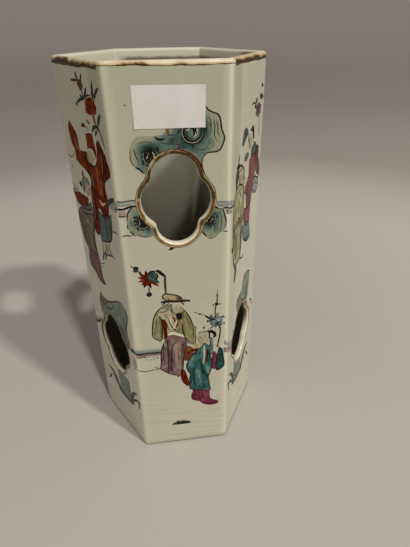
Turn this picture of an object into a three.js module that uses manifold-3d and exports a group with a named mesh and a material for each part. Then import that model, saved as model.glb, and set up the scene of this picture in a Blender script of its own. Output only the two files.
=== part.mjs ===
// A hexagonal porcelain hat stand, the openwork vase shape, pierced with six quatrefoil openings.
// It is slab-built: six mitred wall slabs are luted to each other and to a base slab with thin slip, and coils
// of clay are pressed into the inside corners. One firing then makes all the pieces one body.
// Millimetres, +Z up. The origin is the centre of the foot, and the front wall faces -Y.
import * as THREE from "three";
import { mergeVertices } from "three/addons/utils/BufferGeometryUtils.js";
import Module from "manifold-3d";

const wasm = await Module();
wasm.setup();

// The body: the height, the width of one side to its sharp corners, and the thickness of a wall slab.
const HEIGHT = 285;
const SIDE = 66;
const WALL = 5;
// The outside corner, the rounding of the rim and of the openings' edges, and the chamfer under the foot.
const ARRIS_RADIUS = 4;
const LIP_RADIUS = 2;
const FOOT_CHAMFER = 0.8;
// The layer of slip in each joint between two pieces.
const SLIP = 0.3;

// The base slab is set up inside the walls, which leaves a foot rim under it.
const BASE_RECESS = 4;
const BASE_THICKNESS = 6;

// The coils have hollow faces, as a finger smooths them, and edges of this thickness.
const CORNER_COIL_RADIUS = 14;
const BASE_COIL_RADIUS = 7;
const COIL_EDGE = 0.3;
// The corner coils stop this far below the rim.
const COIL_STOP = 9;

// An opening is four overlapping round lobes: two tall ones above each other and two wide ones side by side.
// Each lobe has the distance of its centre from the middle of the opening, and its radius half way into the wall.
// The lower openings were cut shorter than the upper ones, with their tall lobes closer together.
const UPPER_TALL_LOBE_OFFSET = 14.3;
const LOWER_TALL_LOBE_OFFSET = 12.6;
const TALL_LOBE_RADIUS = 12.9;
const WIDE_LOBE_OFFSET = 4.6;
const WIDE_LOBE_RADIUS = 15.9;
// The upper openings are set down from the rim, and the lower ones up from the foot.
const UPPER_OPENING_BELOW_RIM = 73.7;
const LOWER_OPENING_ABOVE_FOOT = 87;
// The front opening was cut by eye, this far to the right of the wall's middle.
const FRONT_OPENING_ASIDE = 1.2;

const CORNER_STEPS = 5;
const LIP_STEPS = 3;
const LOBE_STEPS = 9;
const COIL_STEPS = 6;

const SIDES = 6;
const TURN = (2 * Math.PI) / SIDES;
const HALF_TURN = TURN / 2;
const APOTHEM = SIDE / 2 / Math.tan(HALF_TURN);
const INNER_APOTHEM = APOTHEM - WALL;
const SEAT_APOTHEM = INNER_APOTHEM - SLIP;
const SHARPEST_CORNER = SLIP;
const BASE_TOP = BASE_RECESS + BASE_THICKNESS;
// A cutting tool reaches this far past what it cuts.
const OVERCUT = WALL;

// One level of the hexagonal body: its six corners as arcs of the given radius, the first beside the front wall.
function hexagonRing(apothem, cornerRadius, z) {
  const arcCentre = (apothem - cornerRadius) / Math.cos(HALF_TURN);
  const ring = [];
  for (let corner = 0; corner < SIDES; corner++) {
    const direction = -Math.PI / 2 - HALF_TURN + corner * TURN;
    for (let step = 0; step <= CORNER_STEPS; step++) {
      const angle = direction + HALF_TURN * ((2 * step) / CORNER_STEPS - 1);
      ring.push(
        new THREE.Vector3(
          arcCentre * Math.cos(direction) + cornerRadius * Math.cos(angle),
          arcCentre * Math.sin(direction) + cornerRadius * Math.sin(angle),
          z,
        ),
      );
    }
  }
  return ring;
}

// Skins rings that have as many points as each other. With a loop the last ring joins the first, and without one
// both ends are closed by fans about the middle of the end ring.
function skin(rings, isLoop) {
  const perRing = rings[0].length;
  const points = rings.flat();
  const faces = [];
  const spans = isLoop ? rings.length : rings.length - 1;
  for (let row = 0; row < spans; row++) {
    const here = row * perRing;
    const there = ((row + 1) % rings.length) * perRing;
    for (let i = 0; i < perRing; i++) {
      const next = (i + 1) % perRing;
      faces.push(here + i, here + next, there + next, here + i, there + next, there + i);
    }
  }
  if (!isLoop) {
    [rings[0], rings[rings.length - 1]].forEach((ring, end) => {
      const middle = ring.reduce((sum, p) => sum.add(p), new THREE.Vector3()).divideScalar(perRing);
      const start = end * (rings.length - 1) * perRing;
      const middleIndex = points.push(middle) - 1;
      for (let i = 0; i < perRing; i++) {
        const next = (i + 1) % perRing;
        const edge = end ? [start + i, start + next] : [start + next, start + i];
        faces.push(middleIndex, ...edge);
      }
    });
  }
  const geometry = new THREE.BufferGeometry().setFromPoints(points);
  geometry.setIndex(faces);
  return geometry;
}

function toSolid(geometry) {
  const bare = geometry.clone();
  bare.deleteAttribute("normal");
  bare.deleteAttribute("uv");
  const merged = mergeVertices(bare, 1e-4);
  return new wasm.Manifold(
    new wasm.Mesh({
      numProp: 3,
      vertProperties: merged.getAttribute("position").array,
      triVerts: new Uint32Array(merged.index.array),
    }),
  );
}

function toGeometry(solid) {
  const mesh = solid.getMesh();
  const geometry = new THREE.BufferGeometry();
  geometry.setAttribute("position", new THREE.BufferAttribute(mesh.vertProperties, mesh.numProp));
  geometry.setIndex(new THREE.BufferAttribute(mesh.triVerts, 1));
  const faceted = geometry.toNonIndexed();
  faceted.computeVertexNormals();
  return faceted;
}

// The six walls in one: a wall's section, with its rounded rim and chamfered foot, taken round the hexagon.
function wallRing() {
  const section = [];
  const addRing = (inset, z) => {
    const cornerRadius = Math.max(ARRIS_RADIUS - inset, SHARPEST_CORNER);
    section.push(hexagonRing(APOTHEM - inset, cornerRadius, z));
  };
  addRing(FOOT_CHAMFER, 0);
  addRing(0, FOOT_CHAMFER);
  for (let step = 0; step <= LIP_STEPS; step++) {
    const angle = ((Math.PI / 2) * step) / LIP_STEPS;
    addRing(LIP_RADIUS * (1 - Math.cos(angle)), HEIGHT - LIP_RADIUS * (1 - Math.sin(angle)));
  }
  for (let step = 0; step <= LIP_STEPS; step++) {
    const angle = ((Math.PI / 2) * step) / LIP_STEPS;
    addRing(WALL - LIP_RADIUS * (1 - Math.sin(angle)), HEIGHT - LIP_RADIUS * (1 - Math.cos(angle)));
  }
  addRing(WALL, 0);
  return toSolid(skin(section, true));
}

// What one wall slab keeps of the ring: the sector of the front side, less half a joint along each mitre.
function frontSector() {
  const reach = 2 * SIDE;
  const apex = SLIP / 2 / Math.sin(HALF_TURN);
  const outline = new THREE.Shape([
    new THREE.Vector2(0, -apex),
    new THREE.Vector2(-reach * Math.sin(HALF_TURN), -apex - reach * Math.cos(HALF_TURN)),
    new THREE.Vector2(reach * Math.sin(HALF_TURN), -apex - reach * Math.cos(HALF_TURN)),
  ]);
  const sector = new THREE.ExtrudeGeometry(outline, {
    depth: HEIGHT + 2 * OVERCUT,
    bevelEnabled: false,
  });
  return toSolid(sector.translate(0, 0, -OVERCUT));
}

// The outline of an opening in the plane of the front wall, with every lobe grown by the same amount.
function quatrefoil(opening, growth, y) {
  const { centreX, centreZ, tallLobeOffset } = opening;
  const tall = TALL_LOBE_RADIUS + growth;
  const wide = WIDE_LOBE_RADIUS + growth;
  // A cusp is where a tall and a wide lobe cross, on the outer side of the line between their centres.
  const span = Math.hypot(WIDE_LOBE_OFFSET, tallLobeOffset);
  const along = (span * span + wide * wide - tall * tall) / (2 * span);
  const across = Math.sqrt(wide * wide - along * along);
  const cusp = new THREE.Vector2(
    WIDE_LOBE_OFFSET + (-WIDE_LOBE_OFFSET * along + tallLobeOffset * across) / span,
    (tallLobeOffset * along + WIDE_LOBE_OFFSET * across) / span,
  );
  const tallHalfAngle = Math.atan2(cusp.x, cusp.y - tallLobeOffset);
  const wideHalfAngle = Math.atan2(cusp.y, cusp.x - WIDE_LOBE_OFFSET);
  const lobes = [
    { middle: 0, x: WIDE_LOBE_OFFSET, z: 0, radius: wide, halfAngle: wideHalfAngle },
    { middle: Math.PI / 2, x: 0, z: tallLobeOffset, radius: tall, halfAngle: tallHalfAngle },
    { middle: Math.PI, x: -WIDE_LOBE_OFFSET, z: 0, radius: wide, halfAngle: wideHalfAngle },
    { middle: -Math.PI / 2, x: 0, z: -tallLobeOffset, radius: tall, halfAngle: tallHalfAngle },
  ];
  return lobes.flatMap((lobe) =>
    Array.from({ length: LOBE_STEPS }, (_, step) => {
      const angle = lobe.middle + lobe.halfAngle * ((2 * step) / LOBE_STEPS - 1);
      return new THREE.Vector3(
        centreX + lobe.x + lobe.radius * Math.cos(angle),
        y,
        centreZ + lobe.z + lobe.radius * Math.sin(angle),
      );
    }),
  );
}

// The tool that cuts an opening and rounds both of its edges, from inside the wall out through its face.
function openingCutter(opening) {
  const rings = [quatrefoil(opening, LIP_RADIUS, -INNER_APOTHEM + OVERCUT)];
  for (let step = 0; step <= LIP_STEPS; step++) {
    const angle = ((Math.PI / 2) * step) / LIP_STEPS;
    const depth = LIP_RADIUS * (1 - Math.cos(angle));
    rings.push(quatrefoil(opening, LIP_RADIUS * (1 - Math.sin(angle)), -INNER_APOTHEM - depth));
  }
  for (let step = 0; step <= LIP_STEPS; step++) {
    const angle = ((Math.PI / 2) * step) / LIP_STEPS;
    const depth = LIP_RADIUS * (1 - Math.sin(angle));
    rings.push(quatrefoil(opening, LIP_RADIUS * (1 - Math.cos(angle)), -APOTHEM + depth));
  }
  rings.push(quatrefoil(opening, LIP_RADIUS, -APOTHEM - OVERCUT));
  return toSolid(skin(rings, false));
}

const allWalls = wallRing();
const sector = frontSector();

function wallSlab(opening) {
  return toGeometry(allWalls.intersect(sector).subtract(openingCutter(opening)));
}

// The plate that closes the bottom, standing inside the walls.
function baseSlab() {
  const bottom = hexagonRing(SEAT_APOTHEM, SHARPEST_CORNER, BASE_RECESS);
  const top = hexagonRing(SEAT_APOTHEM, SHARPEST_CORNER, BASE_TOP);
  return toGeometry(toSolid(skin([bottom, top], false)));
}

// The coil round the floor. Its section has a seat on the walls, a seat on the base and a hollow face.
function baseCoil() {
  const edgeAngle = Math.acos(1 - (SLIP + COIL_EDGE) / BASE_COIL_RADIUS);
  const crest = BASE_TOP + BASE_COIL_RADIUS * (1 - Math.sin(edgeAngle));
  const toeApothem = INNER_APOTHEM - BASE_COIL_RADIUS * (1 - Math.sin(edgeAngle));
  const section = [
    hexagonRing(toeApothem, CORNER_COIL_RADIUS - BASE_COIL_RADIUS, BASE_TOP + SLIP),
    hexagonRing(SEAT_APOTHEM, SHARPEST_CORNER, BASE_TOP + SLIP),
    hexagonRing(SEAT_APOTHEM, SHARPEST_CORNER, crest),
  ];
  for (let step = 0; step <= COIL_STEPS; step++) {
    const angle = edgeAngle + (Math.PI / 2 - 2 * edgeAngle) * (step / COIL_STEPS);
    const inset = BASE_COIL_RADIUS * (1 - Math.cos(angle));
    const z = BASE_TOP + BASE_COIL_RADIUS * (1 - Math.sin(angle));
    section.push(hexagonRing(INNER_APOTHEM - inset, CORNER_COIL_RADIUS - inset, z));
  }
  return toGeometry(toSolid(skin(section, true)));
}

// The coil in one inside corner, drawn with the corner on +X. It stands on the floor's coil.
function cornerCoil() {
  const arcCentre = (INNER_APOTHEM - CORNER_COIL_RADIUS) / Math.cos(HALF_TURN);
  const edgeAngle = HALF_TURN - Math.acos(1 - (SLIP + COIL_EDGE) / CORNER_COIL_RADIUS);
  const edge = new THREE.Vector2(
    arcCentre + CORNER_COIL_RADIUS * Math.cos(edgeAngle),
    CORNER_COIL_RADIUS * Math.sin(edgeAngle),
  );
  const towardsWall = new THREE.Vector2(Math.cos(HALF_TURN), Math.sin(HALF_TURN)).multiplyScalar(COIL_EDGE);
  const outline = new THREE.Shape();
  outline.moveTo(SEAT_APOTHEM / Math.cos(HALF_TURN), 0);
  outline.lineTo(edge.x + towardsWall.x, edge.y + towardsWall.y);
  outline.lineTo(edge.x, edge.y);
  outline.absarc(arcCentre, 0, CORNER_COIL_RADIUS, edgeAngle, -edgeAngle, true);
  outline.lineTo(edge.x + towardsWall.x, -edge.y - towardsWall.y);
  const bottom = BASE_TOP + BASE_COIL_RADIUS + SLIP;
  const coil = new THREE.ExtrudeGeometry(outline, {
    depth: HEIGHT - COIL_STOP - bottom,
    bevelEnabled: false,
    curveSegments: COIL_STEPS,
  });
  return toGeometry(toSolid(coil.translate(0, 0, bottom)));
}

const glazedPorcelain = new THREE.MeshStandardMaterial({ color: 0xd5d3be, roughness: 0.18, metalness: 0 });
const glazedFloor = new THREE.MeshStandardMaterial({ color: 0xcfcdb9, roughness: 0.24, metalness: 0 });
const glazedCoil = new THREE.MeshStandardMaterial({ color: 0xc9c8b3, roughness: 0.22, metalness: 0 });

const hatStand = new THREE.Group();

function addPiece(name, geometry, material, turn = 0) {
  const piece = new THREE.Mesh(geometry, material);
  piece.name = name;
  piece.rotation.z = turn;
  hatStand.add(piece);
}

// Round the body from the front, with the upper and the lower openings on alternate walls.
const upperOpening = {
  centreX: 0,
  centreZ: HEIGHT - UPPER_OPENING_BELOW_RIM,
  tallLobeOffset: UPPER_TALL_LOBE_OFFSET,
};
const lowerOpening = {
  centreX: 0,
  centreZ: LOWER_OPENING_ABOVE_FOOT,
  tallLobeOffset: LOWER_TALL_LOBE_OFFSET,
};
const frontWall = wallSlab({ ...upperOpening, centreX: FRONT_OPENING_ASIDE });
const upperWall = wallSlab(upperOpening);
const lowerWall = wallSlab(lowerOpening);
const slabs = [frontWall, lowerWall, upperWall, lowerWall, upperWall, lowerWall];
["front", "front_right", "back_right", "back", "back_left", "front_left"].forEach((place, i) => {
  addPiece("wall_" + place, slabs[i], glazedPorcelain, i * TURN);
});

const coil = cornerCoil();
["front_right", "right", "back_right", "back_left", "left", "front_left"].forEach((place, i) => {
  addPiece("corner_coil_" + place, coil, glazedCoil, -Math.PI / 2 + HALF_TURN + i * TURN);
});

addPiece("base_slab", baseSlab(), glazedFloor);
addPiece("base_coil", baseCoil(), glazedCoil);

export default hatStand;
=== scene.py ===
from math import atan2, cos, exp, hypot, pi, radians, sin, tan

import bmesh
import bpy
import numpy as np
from mathutils import Euler, Matrix, Vector, geometry, noise


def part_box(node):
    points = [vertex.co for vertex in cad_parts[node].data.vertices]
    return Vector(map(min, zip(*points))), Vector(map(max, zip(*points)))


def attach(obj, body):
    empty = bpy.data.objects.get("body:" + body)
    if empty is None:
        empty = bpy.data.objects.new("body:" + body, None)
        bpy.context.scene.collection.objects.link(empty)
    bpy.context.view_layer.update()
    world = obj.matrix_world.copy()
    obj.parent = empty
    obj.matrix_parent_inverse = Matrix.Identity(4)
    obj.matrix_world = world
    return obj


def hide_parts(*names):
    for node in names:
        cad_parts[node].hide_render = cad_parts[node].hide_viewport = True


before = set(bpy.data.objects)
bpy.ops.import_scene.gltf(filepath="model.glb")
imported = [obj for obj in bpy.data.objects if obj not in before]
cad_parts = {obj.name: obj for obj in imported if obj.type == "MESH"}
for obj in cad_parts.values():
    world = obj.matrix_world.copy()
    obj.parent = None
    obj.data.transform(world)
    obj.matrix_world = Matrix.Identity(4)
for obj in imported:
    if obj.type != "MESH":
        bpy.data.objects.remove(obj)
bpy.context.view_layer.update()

# The camera of the photograph: a little above the rim, close to the front wall and a little to its left.
# Its place and lens were worked out from the corners of the rim and the foot.
MM = 0.001
CAMERA_AT = Vector((-14.08, -290.59, 301.31)) * MM
CAMERA_TURN = radians(-7.7)
CAMERA_TILT = radians(-30.8)
CAMERA_ROLL = radians(-0.63)
FOCAL_PIXELS = 423.6
PHOTO_HEIGHT_PIXELS = 547
SENSOR = 36.0

camera_data = bpy.data.cameras.new("photo_camera")
camera_data.sensor_width = SENSOR
camera_data.lens = FOCAL_PIXELS / PHOTO_HEIGHT_PIXELS * SENSOR
camera_data.clip_start = 0.01
camera = bpy.data.objects.new("photo_camera", camera_data)
camera.location = CAMERA_AT
camera.rotation_euler = (
    Euler((pi / 2 + CAMERA_TILT, 0, CAMERA_TURN)).to_matrix() @ Matrix.Rotation(CAMERA_ROLL, 3, "Z")
).to_euler()
bpy.context.scene.collection.objects.link(camera)
bpy.context.scene.camera = camera
bpy.context.scene.view_settings.view_transform = "Standard"


# The glazed body: six porcelain slabs, luted at their mitres, coiled inside the corners and fired as one.
# The glaze runs over the joints, so the walls and coils show as one skin with soft arrises and lips.
# Lengths from here on are in millimetres, and a mesh is turned into metres when it is made.
class Socket:
    """An output of a node, so that the maths of a finish reads as an expression."""

    def __init__(self, finish, output):
        self.finish = finish
        self.output = output

    def maths(self, operation, *others):
        values = dict(enumerate((self, *others)))
        return self.finish.node("ShaderNodeMath", {"operation": operation}, values)

    def __add__(self, other):
        return self.maths("ADD", other)

    def __mul__(self, other):
        return self.maths("MULTIPLY", other)

    def __sub__(self, other):
        return self.maths("SUBTRACT", other)

    def __rsub__(self, other):
        return self * -1 + other

    __radd__ = __add__
    __rmul__ = __mul__


class Finish:
    """The node tree of one finish, with a Principled shader at its end."""

    def __init__(self, name, roughness):
        self.material = bpy.data.materials.new(name)
        self.material.use_nodes = True
        self.tree = self.material.node_tree
        self.shader = self.tree.nodes["Principled BSDF"]
        self.shader.inputs["Roughness"].default_value = roughness

    def node(self, kind, settings=None, values=None, output=0):
        fresh = self.tree.nodes.new(kind)
        for name, value in (settings or {}).items():
            if name == "stops":
                elements = fresh.color_ramp.elements
                while len(elements) < len(value):
                    elements.new(1.0)
                for element, (place, colour) in zip(elements, value):
                    element.position = place
                    element.color = (*colour, 1) if hasattr(colour, "__len__") else (
                        colour, colour, colour, 1
                    )
            else:
                setattr(fresh, name, value)
        for name, value in (values or {}).items():
            self.feed(fresh.inputs[name], value)
        return Socket(self, fresh.outputs[output])

    def feed(self, socket, value):
        if isinstance(value, Socket):
            self.tree.links.new(value.output, socket)
        elif hasattr(value, "__len__") and socket.type == "RGBA":
            socket.default_value = (*value, 1.0)
        else:
            socket.default_value = value

    def place(self, stretch=(1, 1, 1)):
        spot = self.node("ShaderNodeTexCoord", output="Object")
        return self.node("ShaderNodeVectorMath", {"operation": "MULTIPLY"}, {0: spot, 1: stretch})

    def height(self):
        return self.node("ShaderNodeSeparateXYZ", values={"Vector": self.place()}, output="Z")

    def grain(self, size, detail=3, stretch=(1, 1, 1)):
        values = {"Vector": self.place(stretch), "Scale": 1 / (size * MM), "Detail": detail}
        return self.node("ShaderNodeTexNoise", values=values)

    def cells(self, size, feature="F1", output="Distance"):
        values = {"Vector": self.place(), "Scale": 1 / (size * MM)}
        return self.node("ShaderNodeTexVoronoi", {"feature": feature}, values, output)

    def painted(self, name):
        return self.node("ShaderNodeAttribute", {"attribute_name": name}, output="Fac")

    def ramp(self, factor, stops):
        return self.node("ShaderNodeValToRGB", {"stops": stops}, {"Fac": factor})

    def mix(self, factor, first, second):
        return self.node("ShaderNodeMix", {"data_type": "RGBA"}, {0: factor, 6: first, 7: second}, output=2)

    def bump(self, height, distance, strength=1.0):
        values = {"Height": height, "Distance": distance * MM, "Strength": strength}
        self.feed(self.shader.inputs["Normal"], self.node("ShaderNodeBump", values=values))

    def colour(self, value):
        self.feed(self.shader.inputs["Base Color"], value)

    def roughness(self, value):
        self.feed(self.shader.inputs["Roughness"], value)


def shade(*levels):
    """A colour given in levels of 0 to 255, as on a paint card."""
    return tuple(level / 255 / 12.92 if level < 11 else ((level / 255 + 0.055) / 1.055) ** 2.4
        for level in levels)


front_low, front_high = (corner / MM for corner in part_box("wall_front"))
HEIGHT = front_high.z
APOTHEM = -front_low.y
WALL = front_high.y - front_low.y
BASE_UNDER, BASE_TOP = (corner.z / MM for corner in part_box("base_slab"))
SIDES = 6
TURN = 2 * pi / SIDES
ARRIS_RADIUS = 4
LIP_RADIUS = 2
FOOT_CHAMFER = 0.8
BASE_COIL_RADIUS = 7
TALL_LOBE_RADIUS = 12.9
WIDE_LOBE_OFFSET = 4.6
WIDE_LOBE_RADIUS = 15.9
UPPER_TALL_LOBE_OFFSET = 14.3
LOWER_TALL_LOBE_OFFSET = 12.6
UPPER_OPENING_BELOW_RIM = 73.7
LOWER_OPENING_ABOVE_FOOT = 87
FRONT_OPENING_ASIDE = 1.2
FRONT_TOP_FLARE = 0.8
LOBE_STEPS = 48
WALLS = ["front", "front_right", "back_right", "back", "back_left", "front_left"]
CORNERS = ["front_right", "right", "back_right", "back_left", "left", "front_left"]
WARP_SIZE = 55
WARP = 0.25
WARP_FREE_FROM = 20
HALF_FLAT = (APOTHEM - ARRIS_RADIUS) * tan(TURN / 2)


def clamped(value):
    return min(1, max(0, value))


def warped(point):
    """Where a point of the body ended after the kiln, which drew the slabs out of true a little."""
    swing = noise.noise_vector(Vector(point) / WARP_SIZE) * WARP
    swing.z *= clamped(point[2] / WARP_FREE_FROM)
    return Vector(point) + swing


def turned(wall, point):
    return Matrix.Rotation(WALLS.index(wall) * TURN, 3, "Z") @ Vector(point)


def on_wall(wall, across, up, out=0.0):
    """A point on a wall's outer face: across to the right from its middle, up from the foot, out from the
    glaze. Past the flat it follows the rounding as far as the arris."""
    past = abs(across) - HALF_FLAT
    if past <= 0:
        return warped(turned(wall, (across, -APOTHEM - out, up)))
    bend = min(past / ARRIS_RADIUS, TURN / 2)
    reach = ARRIS_RADIUS + out
    side = HALF_FLAT + reach * sin(bend)
    place = (side if across > 0 else -side, ARRIS_RADIUS - APOTHEM - reach * cos(bend), up)
    return warped(turned(wall, place))


def opening(wall):
    """The middle of a wall's opening, across and up, and how far its tall lobes stand from there."""
    if WALLS.index(wall) % 2:
        return 0, LOWER_OPENING_ABOVE_FOOT, LOWER_TALL_LOBE_OFFSET
    aside = FRONT_OPENING_ASIDE if wall == "front" else 0
    return aside, HEIGHT - UPPER_OPENING_BELOW_RIM, UPPER_TALL_LOBE_OFFSET


def quatrefoil(wall, growth, steps=16):
    """The outline of a wall's opening, anticlockwise from the right, with every lobe grown alike. The
    front's top lobe was cut wider than its lower one, and all the cusps were wiped round with a sponge."""
    middle_across, middle_up, tall_offset = opening(wall)
    flare = FRONT_TOP_FLARE if wall == "front" else 0
    wide = WIDE_LOBE_RADIUS + growth
    ends = []
    for change in (flare, -flare / 2):
        tall = TALL_LOBE_RADIUS + growth + change
        offset = tall_offset - change
        span = hypot(WIDE_LOBE_OFFSET, offset)
        along = (span ** 2 + wide ** 2 - tall ** 2) / (2 * span)
        aside = (wide ** 2 - along ** 2) ** 0.5
        cusp_across = WIDE_LOBE_OFFSET + (offset * aside - WIDE_LOBE_OFFSET * along) / span
        cusp_up = (offset * along + WIDE_LOBE_OFFSET * aside) / span
        ends.append((tall, offset, atan2(cusp_across, cusp_up - offset),
            atan2(cusp_up, cusp_across - WIDE_LOBE_OFFSET)))
    (top, top_offset, top_half, over), (low, low_offset, low_half, under) = ends
    lobes = (
        (-under, over, WIDE_LOBE_OFFSET, 0, wide),
        (pi / 2 - top_half, pi / 2 + top_half, 0, top_offset, top),
        (pi - over, pi + under, -WIDE_LOBE_OFFSET, 0, wide),
        (-pi / 2 - low_half, -pi / 2 + low_half, 0, -low_offset, low),
    )
    outline = [
        (middle_across + across + radius * cos(angle), middle_up + up + radius * sin(angle))
        for first, last, across, up, radius in lobes
        for angle in np.linspace(first, last, LOBE_STEPS, endpoint=False)
    ]
    wiped = np.mean([np.roll(outline, k, axis=0) for k in (-2, -1, 0, 1, 2)], axis=0)
    return [tuple(place) for place in wiped[::LOBE_STEPS // steps]]


CORNER_STEPS = 8
PANEL_STEPS = 16
LIP_STEPS = 5
COVE_STEPS = 6
RISE = 4
PANEL_GRID = 2.5
OPENING_PANEL = 34
COIL_STOP = 9
COIL_FADE = 5
SMOOTHED_COIL_RADIUS = 10.5
INSIDE_CORNER_RADIUS = 1
SLIP_COVE = 1.2
FLOOR_GLAZE = 0.05


def body_ring(inset, corner_radius, height, panel_steps=PANEL_STEPS):
    """One level of the body, as a bend and then a flat for each wall, from the corner on the front's
    left."""
    apothem = APOTHEM - inset
    arc_centre = (apothem - corner_radius) / cos(TURN / 2)
    half_flat = (apothem - corner_radius) * tan(TURN / 2)
    ring = []
    for index, wall in enumerate(WALLS):
        direction = -pi / 2 - TURN / 2 + index * TURN
        for step in range(CORNER_STEPS):
            angle = direction + TURN / 2 * (2 * step / CORNER_STEPS - 1)
            across = arc_centre * cos(direction) + corner_radius * cos(angle)
            deep = arc_centre * sin(direction) + corner_radius * sin(angle)
            ring.append(Vector((across, deep, height)))
        for step in range(panel_steps):
            ring.append(turned(wall, (half_flat * (2 * step / panel_steps - 1), -apothem, height)))
    return ring


def rounded(radius):
    """The rounding of a square edge, as pairs of inset and drop from it."""
    turns = [pi / 2 * step / LIP_STEPS for step in range(LIP_STEPS + 1)]
    return [(radius * (1 - cos(turn)), radius * (1 - sin(turn))) for turn in turns]


def even(start, end, step):
    count = max(1, round(abs(end - start) / step))
    return [start + (end - start) * i / count for i in range(1, count)]


def inside_corner(height):
    """The radius of the inside corner: the coil stops below the rim and fades into the bare mitre."""
    fade = clamped((HEIGHT - COIL_STOP + COIL_FADE - height) / (2 * COIL_FADE))
    fade = fade * fade * (3 - 2 * fade)
    return INSIDE_CORNER_RADIUS + (SMOOTHED_COIL_RADIUS - INSIDE_CORNER_RADIUS) * fade


lip_foot = HEIGHT - LIP_RADIUS
floor_crest = BASE_TOP + BASE_COIL_RADIUS
outside = [FOOT_CHAMFER, *even(FOOT_CHAMFER, lip_foot, RISE), lip_foot]
inside = [lip_foot, *even(lip_foot, floor_crest, RISE), floor_crest]

# Each row of the section is an inset from the outer face, a height and a corner radius. The rows run from
# inside the base slab, down round the foot, up the outside, over the rim and down the inside to the floor.
section = [(WALL + SLIP_COVE, height, SLIP_COVE) for height in (BASE_TOP - SLIP_COVE, BASE_UNDER)]
section += [
    (WALL + SLIP_COVE * (1 - sin(turn)), BASE_UNDER - SLIP_COVE * (1 - cos(turn)), INSIDE_CORNER_RADIUS)
    for turn in (pi / 6, pi / 3, pi / 2)
]
section += [(WALL, 0.0, INSIDE_CORNER_RADIUS), (FOOT_CHAMFER, 0.0, ARRIS_RADIUS - FOOT_CHAMFER)]
section += [(0.0, height, ARRIS_RADIUS) for height in outside]
lip = rounded(LIP_RADIUS)[1:]
section += [(inset, HEIGHT - drop, ARRIS_RADIUS - inset) for inset, drop in lip]
section += [
    (WALL - inset, HEIGHT - drop, max(ARRIS_RADIUS - WALL + inset, INSIDE_CORNER_RADIUS))
    for inset, drop in reversed(lip)
]
section += [(WALL, height, inside_corner(height)) for height in inside]
for step in range(1, COVE_STEPS + 1):
    turn = pi / 2 * step / COVE_STEPS
    reach = BASE_COIL_RADIUS * (1 - cos(turn))
    section.append((WALL + reach, floor_crest - BASE_COIL_RADIUS * sin(turn) + FLOOR_GLAZE,
        SMOOTHED_COIL_RADIUS - reach))

points = [point for inset, height, corner in section for point in body_ring(inset, corner, height)]
faces = []
per_wall = CORNER_STEPS + PANEL_STEPS
per_ring = SIDES * per_wall


def pierced(row, column):
    """Whether a quad of the walls' inner or outer grid lies on the flat of a wall, where its opening is."""
    low, high = section[row], section[row + 1]
    on_flat = column % per_wall >= CORNER_STEPS
    vertical = low[0] == high[0] and low[0] in (0.0, WALL) and abs(high[1] - low[1]) > 1
    from_opening = abs((low[1] + high[1]) / 2 - opening(WALLS[column // per_wall])[1])
    return on_flat and vertical and from_opening < OPENING_PANEL


loose_edges = {}
for row in range(len(section) - 1):
    for column in range(per_ring):
        corners = [row * per_ring + column, row * per_ring + (column + 1) % per_ring]
        corners += [corners[1] + per_ring, corners[0] + per_ring]
        if not pierced(row, column):
            faces.append(corners)
            continue
        edges = loose_edges.setdefault((WALLS[column // per_wall], section[row][0] == 0.0), set())
        for i in range(4):
            edge = (corners[i], corners[(i + 1) % 4])
            if edge[::-1] in edges:
                edges.remove(edge[::-1])
            else:
                edges.add(edge)


def within(places, outline):
    """For an array of flat places, whether each lies inside an outline."""
    places, outline = np.asarray(places, float), np.asarray(outline, float)
    x, z = places[:, :1], places[:, 1:]
    first_x, first_z = outline.T
    last_x, last_z = np.roll(outline, 1, axis=0).T
    spans = (first_z > z) != (last_z > z)
    rise = np.where(last_z == first_z, 1, last_z - first_z)
    return (spans & (x < (last_x - first_x) * (z - first_z) / rise + first_x)).sum(1) % 2 == 1


def nearest(places, line):
    """For an array of flat places, how far each is from the nearest point of a line."""
    places, line = np.asarray(places, float), np.asarray(line, float)
    return np.sqrt(((places[:, None] - line[None]) ** 2).sum(2).min(1))


RIM_INSET = 0.28
ROW_STEP = 0.87


def mesh_fill(outline, holes, grid, rims=()):
    """Points and triangles that fill an outline but not its holes, on a staggered grid and through any rims
    in it."""
    loops = [[tuple(place) for place in loop] for loop in (outline, *holes)]
    places = [place for loop in loops for place in loop]
    starts = [sum(map(len, loops[:i])) for i in range(len(loops))]
    edges = [
        (start + i, start + (i + 1) % len(loop))
        for start, loop in zip(starts, loops) for i in range(len(loop))
    ]

    def solid(spots):
        kept = within(spots, loops[0])
        for hole in loops[1:]:
            kept &= ~within(spots, hole)
        return kept

    low, high = np.min(loops[0], axis=0), np.max(loops[0], axis=0)
    columns = np.arange(low[0], high[0] + grid, grid)
    rows = np.arange(low[1], high[1] + grid, grid * ROW_STEP)
    across, up = np.meshgrid(columns, rows)
    across[1::2] += grid / 2
    spots = np.stack([across.ravel(), up.ravel()], axis=1)
    spots = spots[nearest(spots, places) > (RIM_INSET + grid * 0.45 if len(rims) else grid * 0.6)]
    if len(rims):
        spots = np.concatenate([np.array(rims)[nearest(rims, places) > 0.2], spots])
    inner = [Vector(place) for place in [*places, *spots[solid(spots)]]]
    flat, _, triangles, *_ = geometry.delaunay_2d_cdt(inner, edges, [], 1, 1e-4)
    flat = np.array([tuple(place) for place in flat])
    middles = np.array([flat[list(face)].mean(0) for face in triangles])
    return flat, [list(face) for face, kept in zip(triangles, solid(middles)) if kept]


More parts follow.
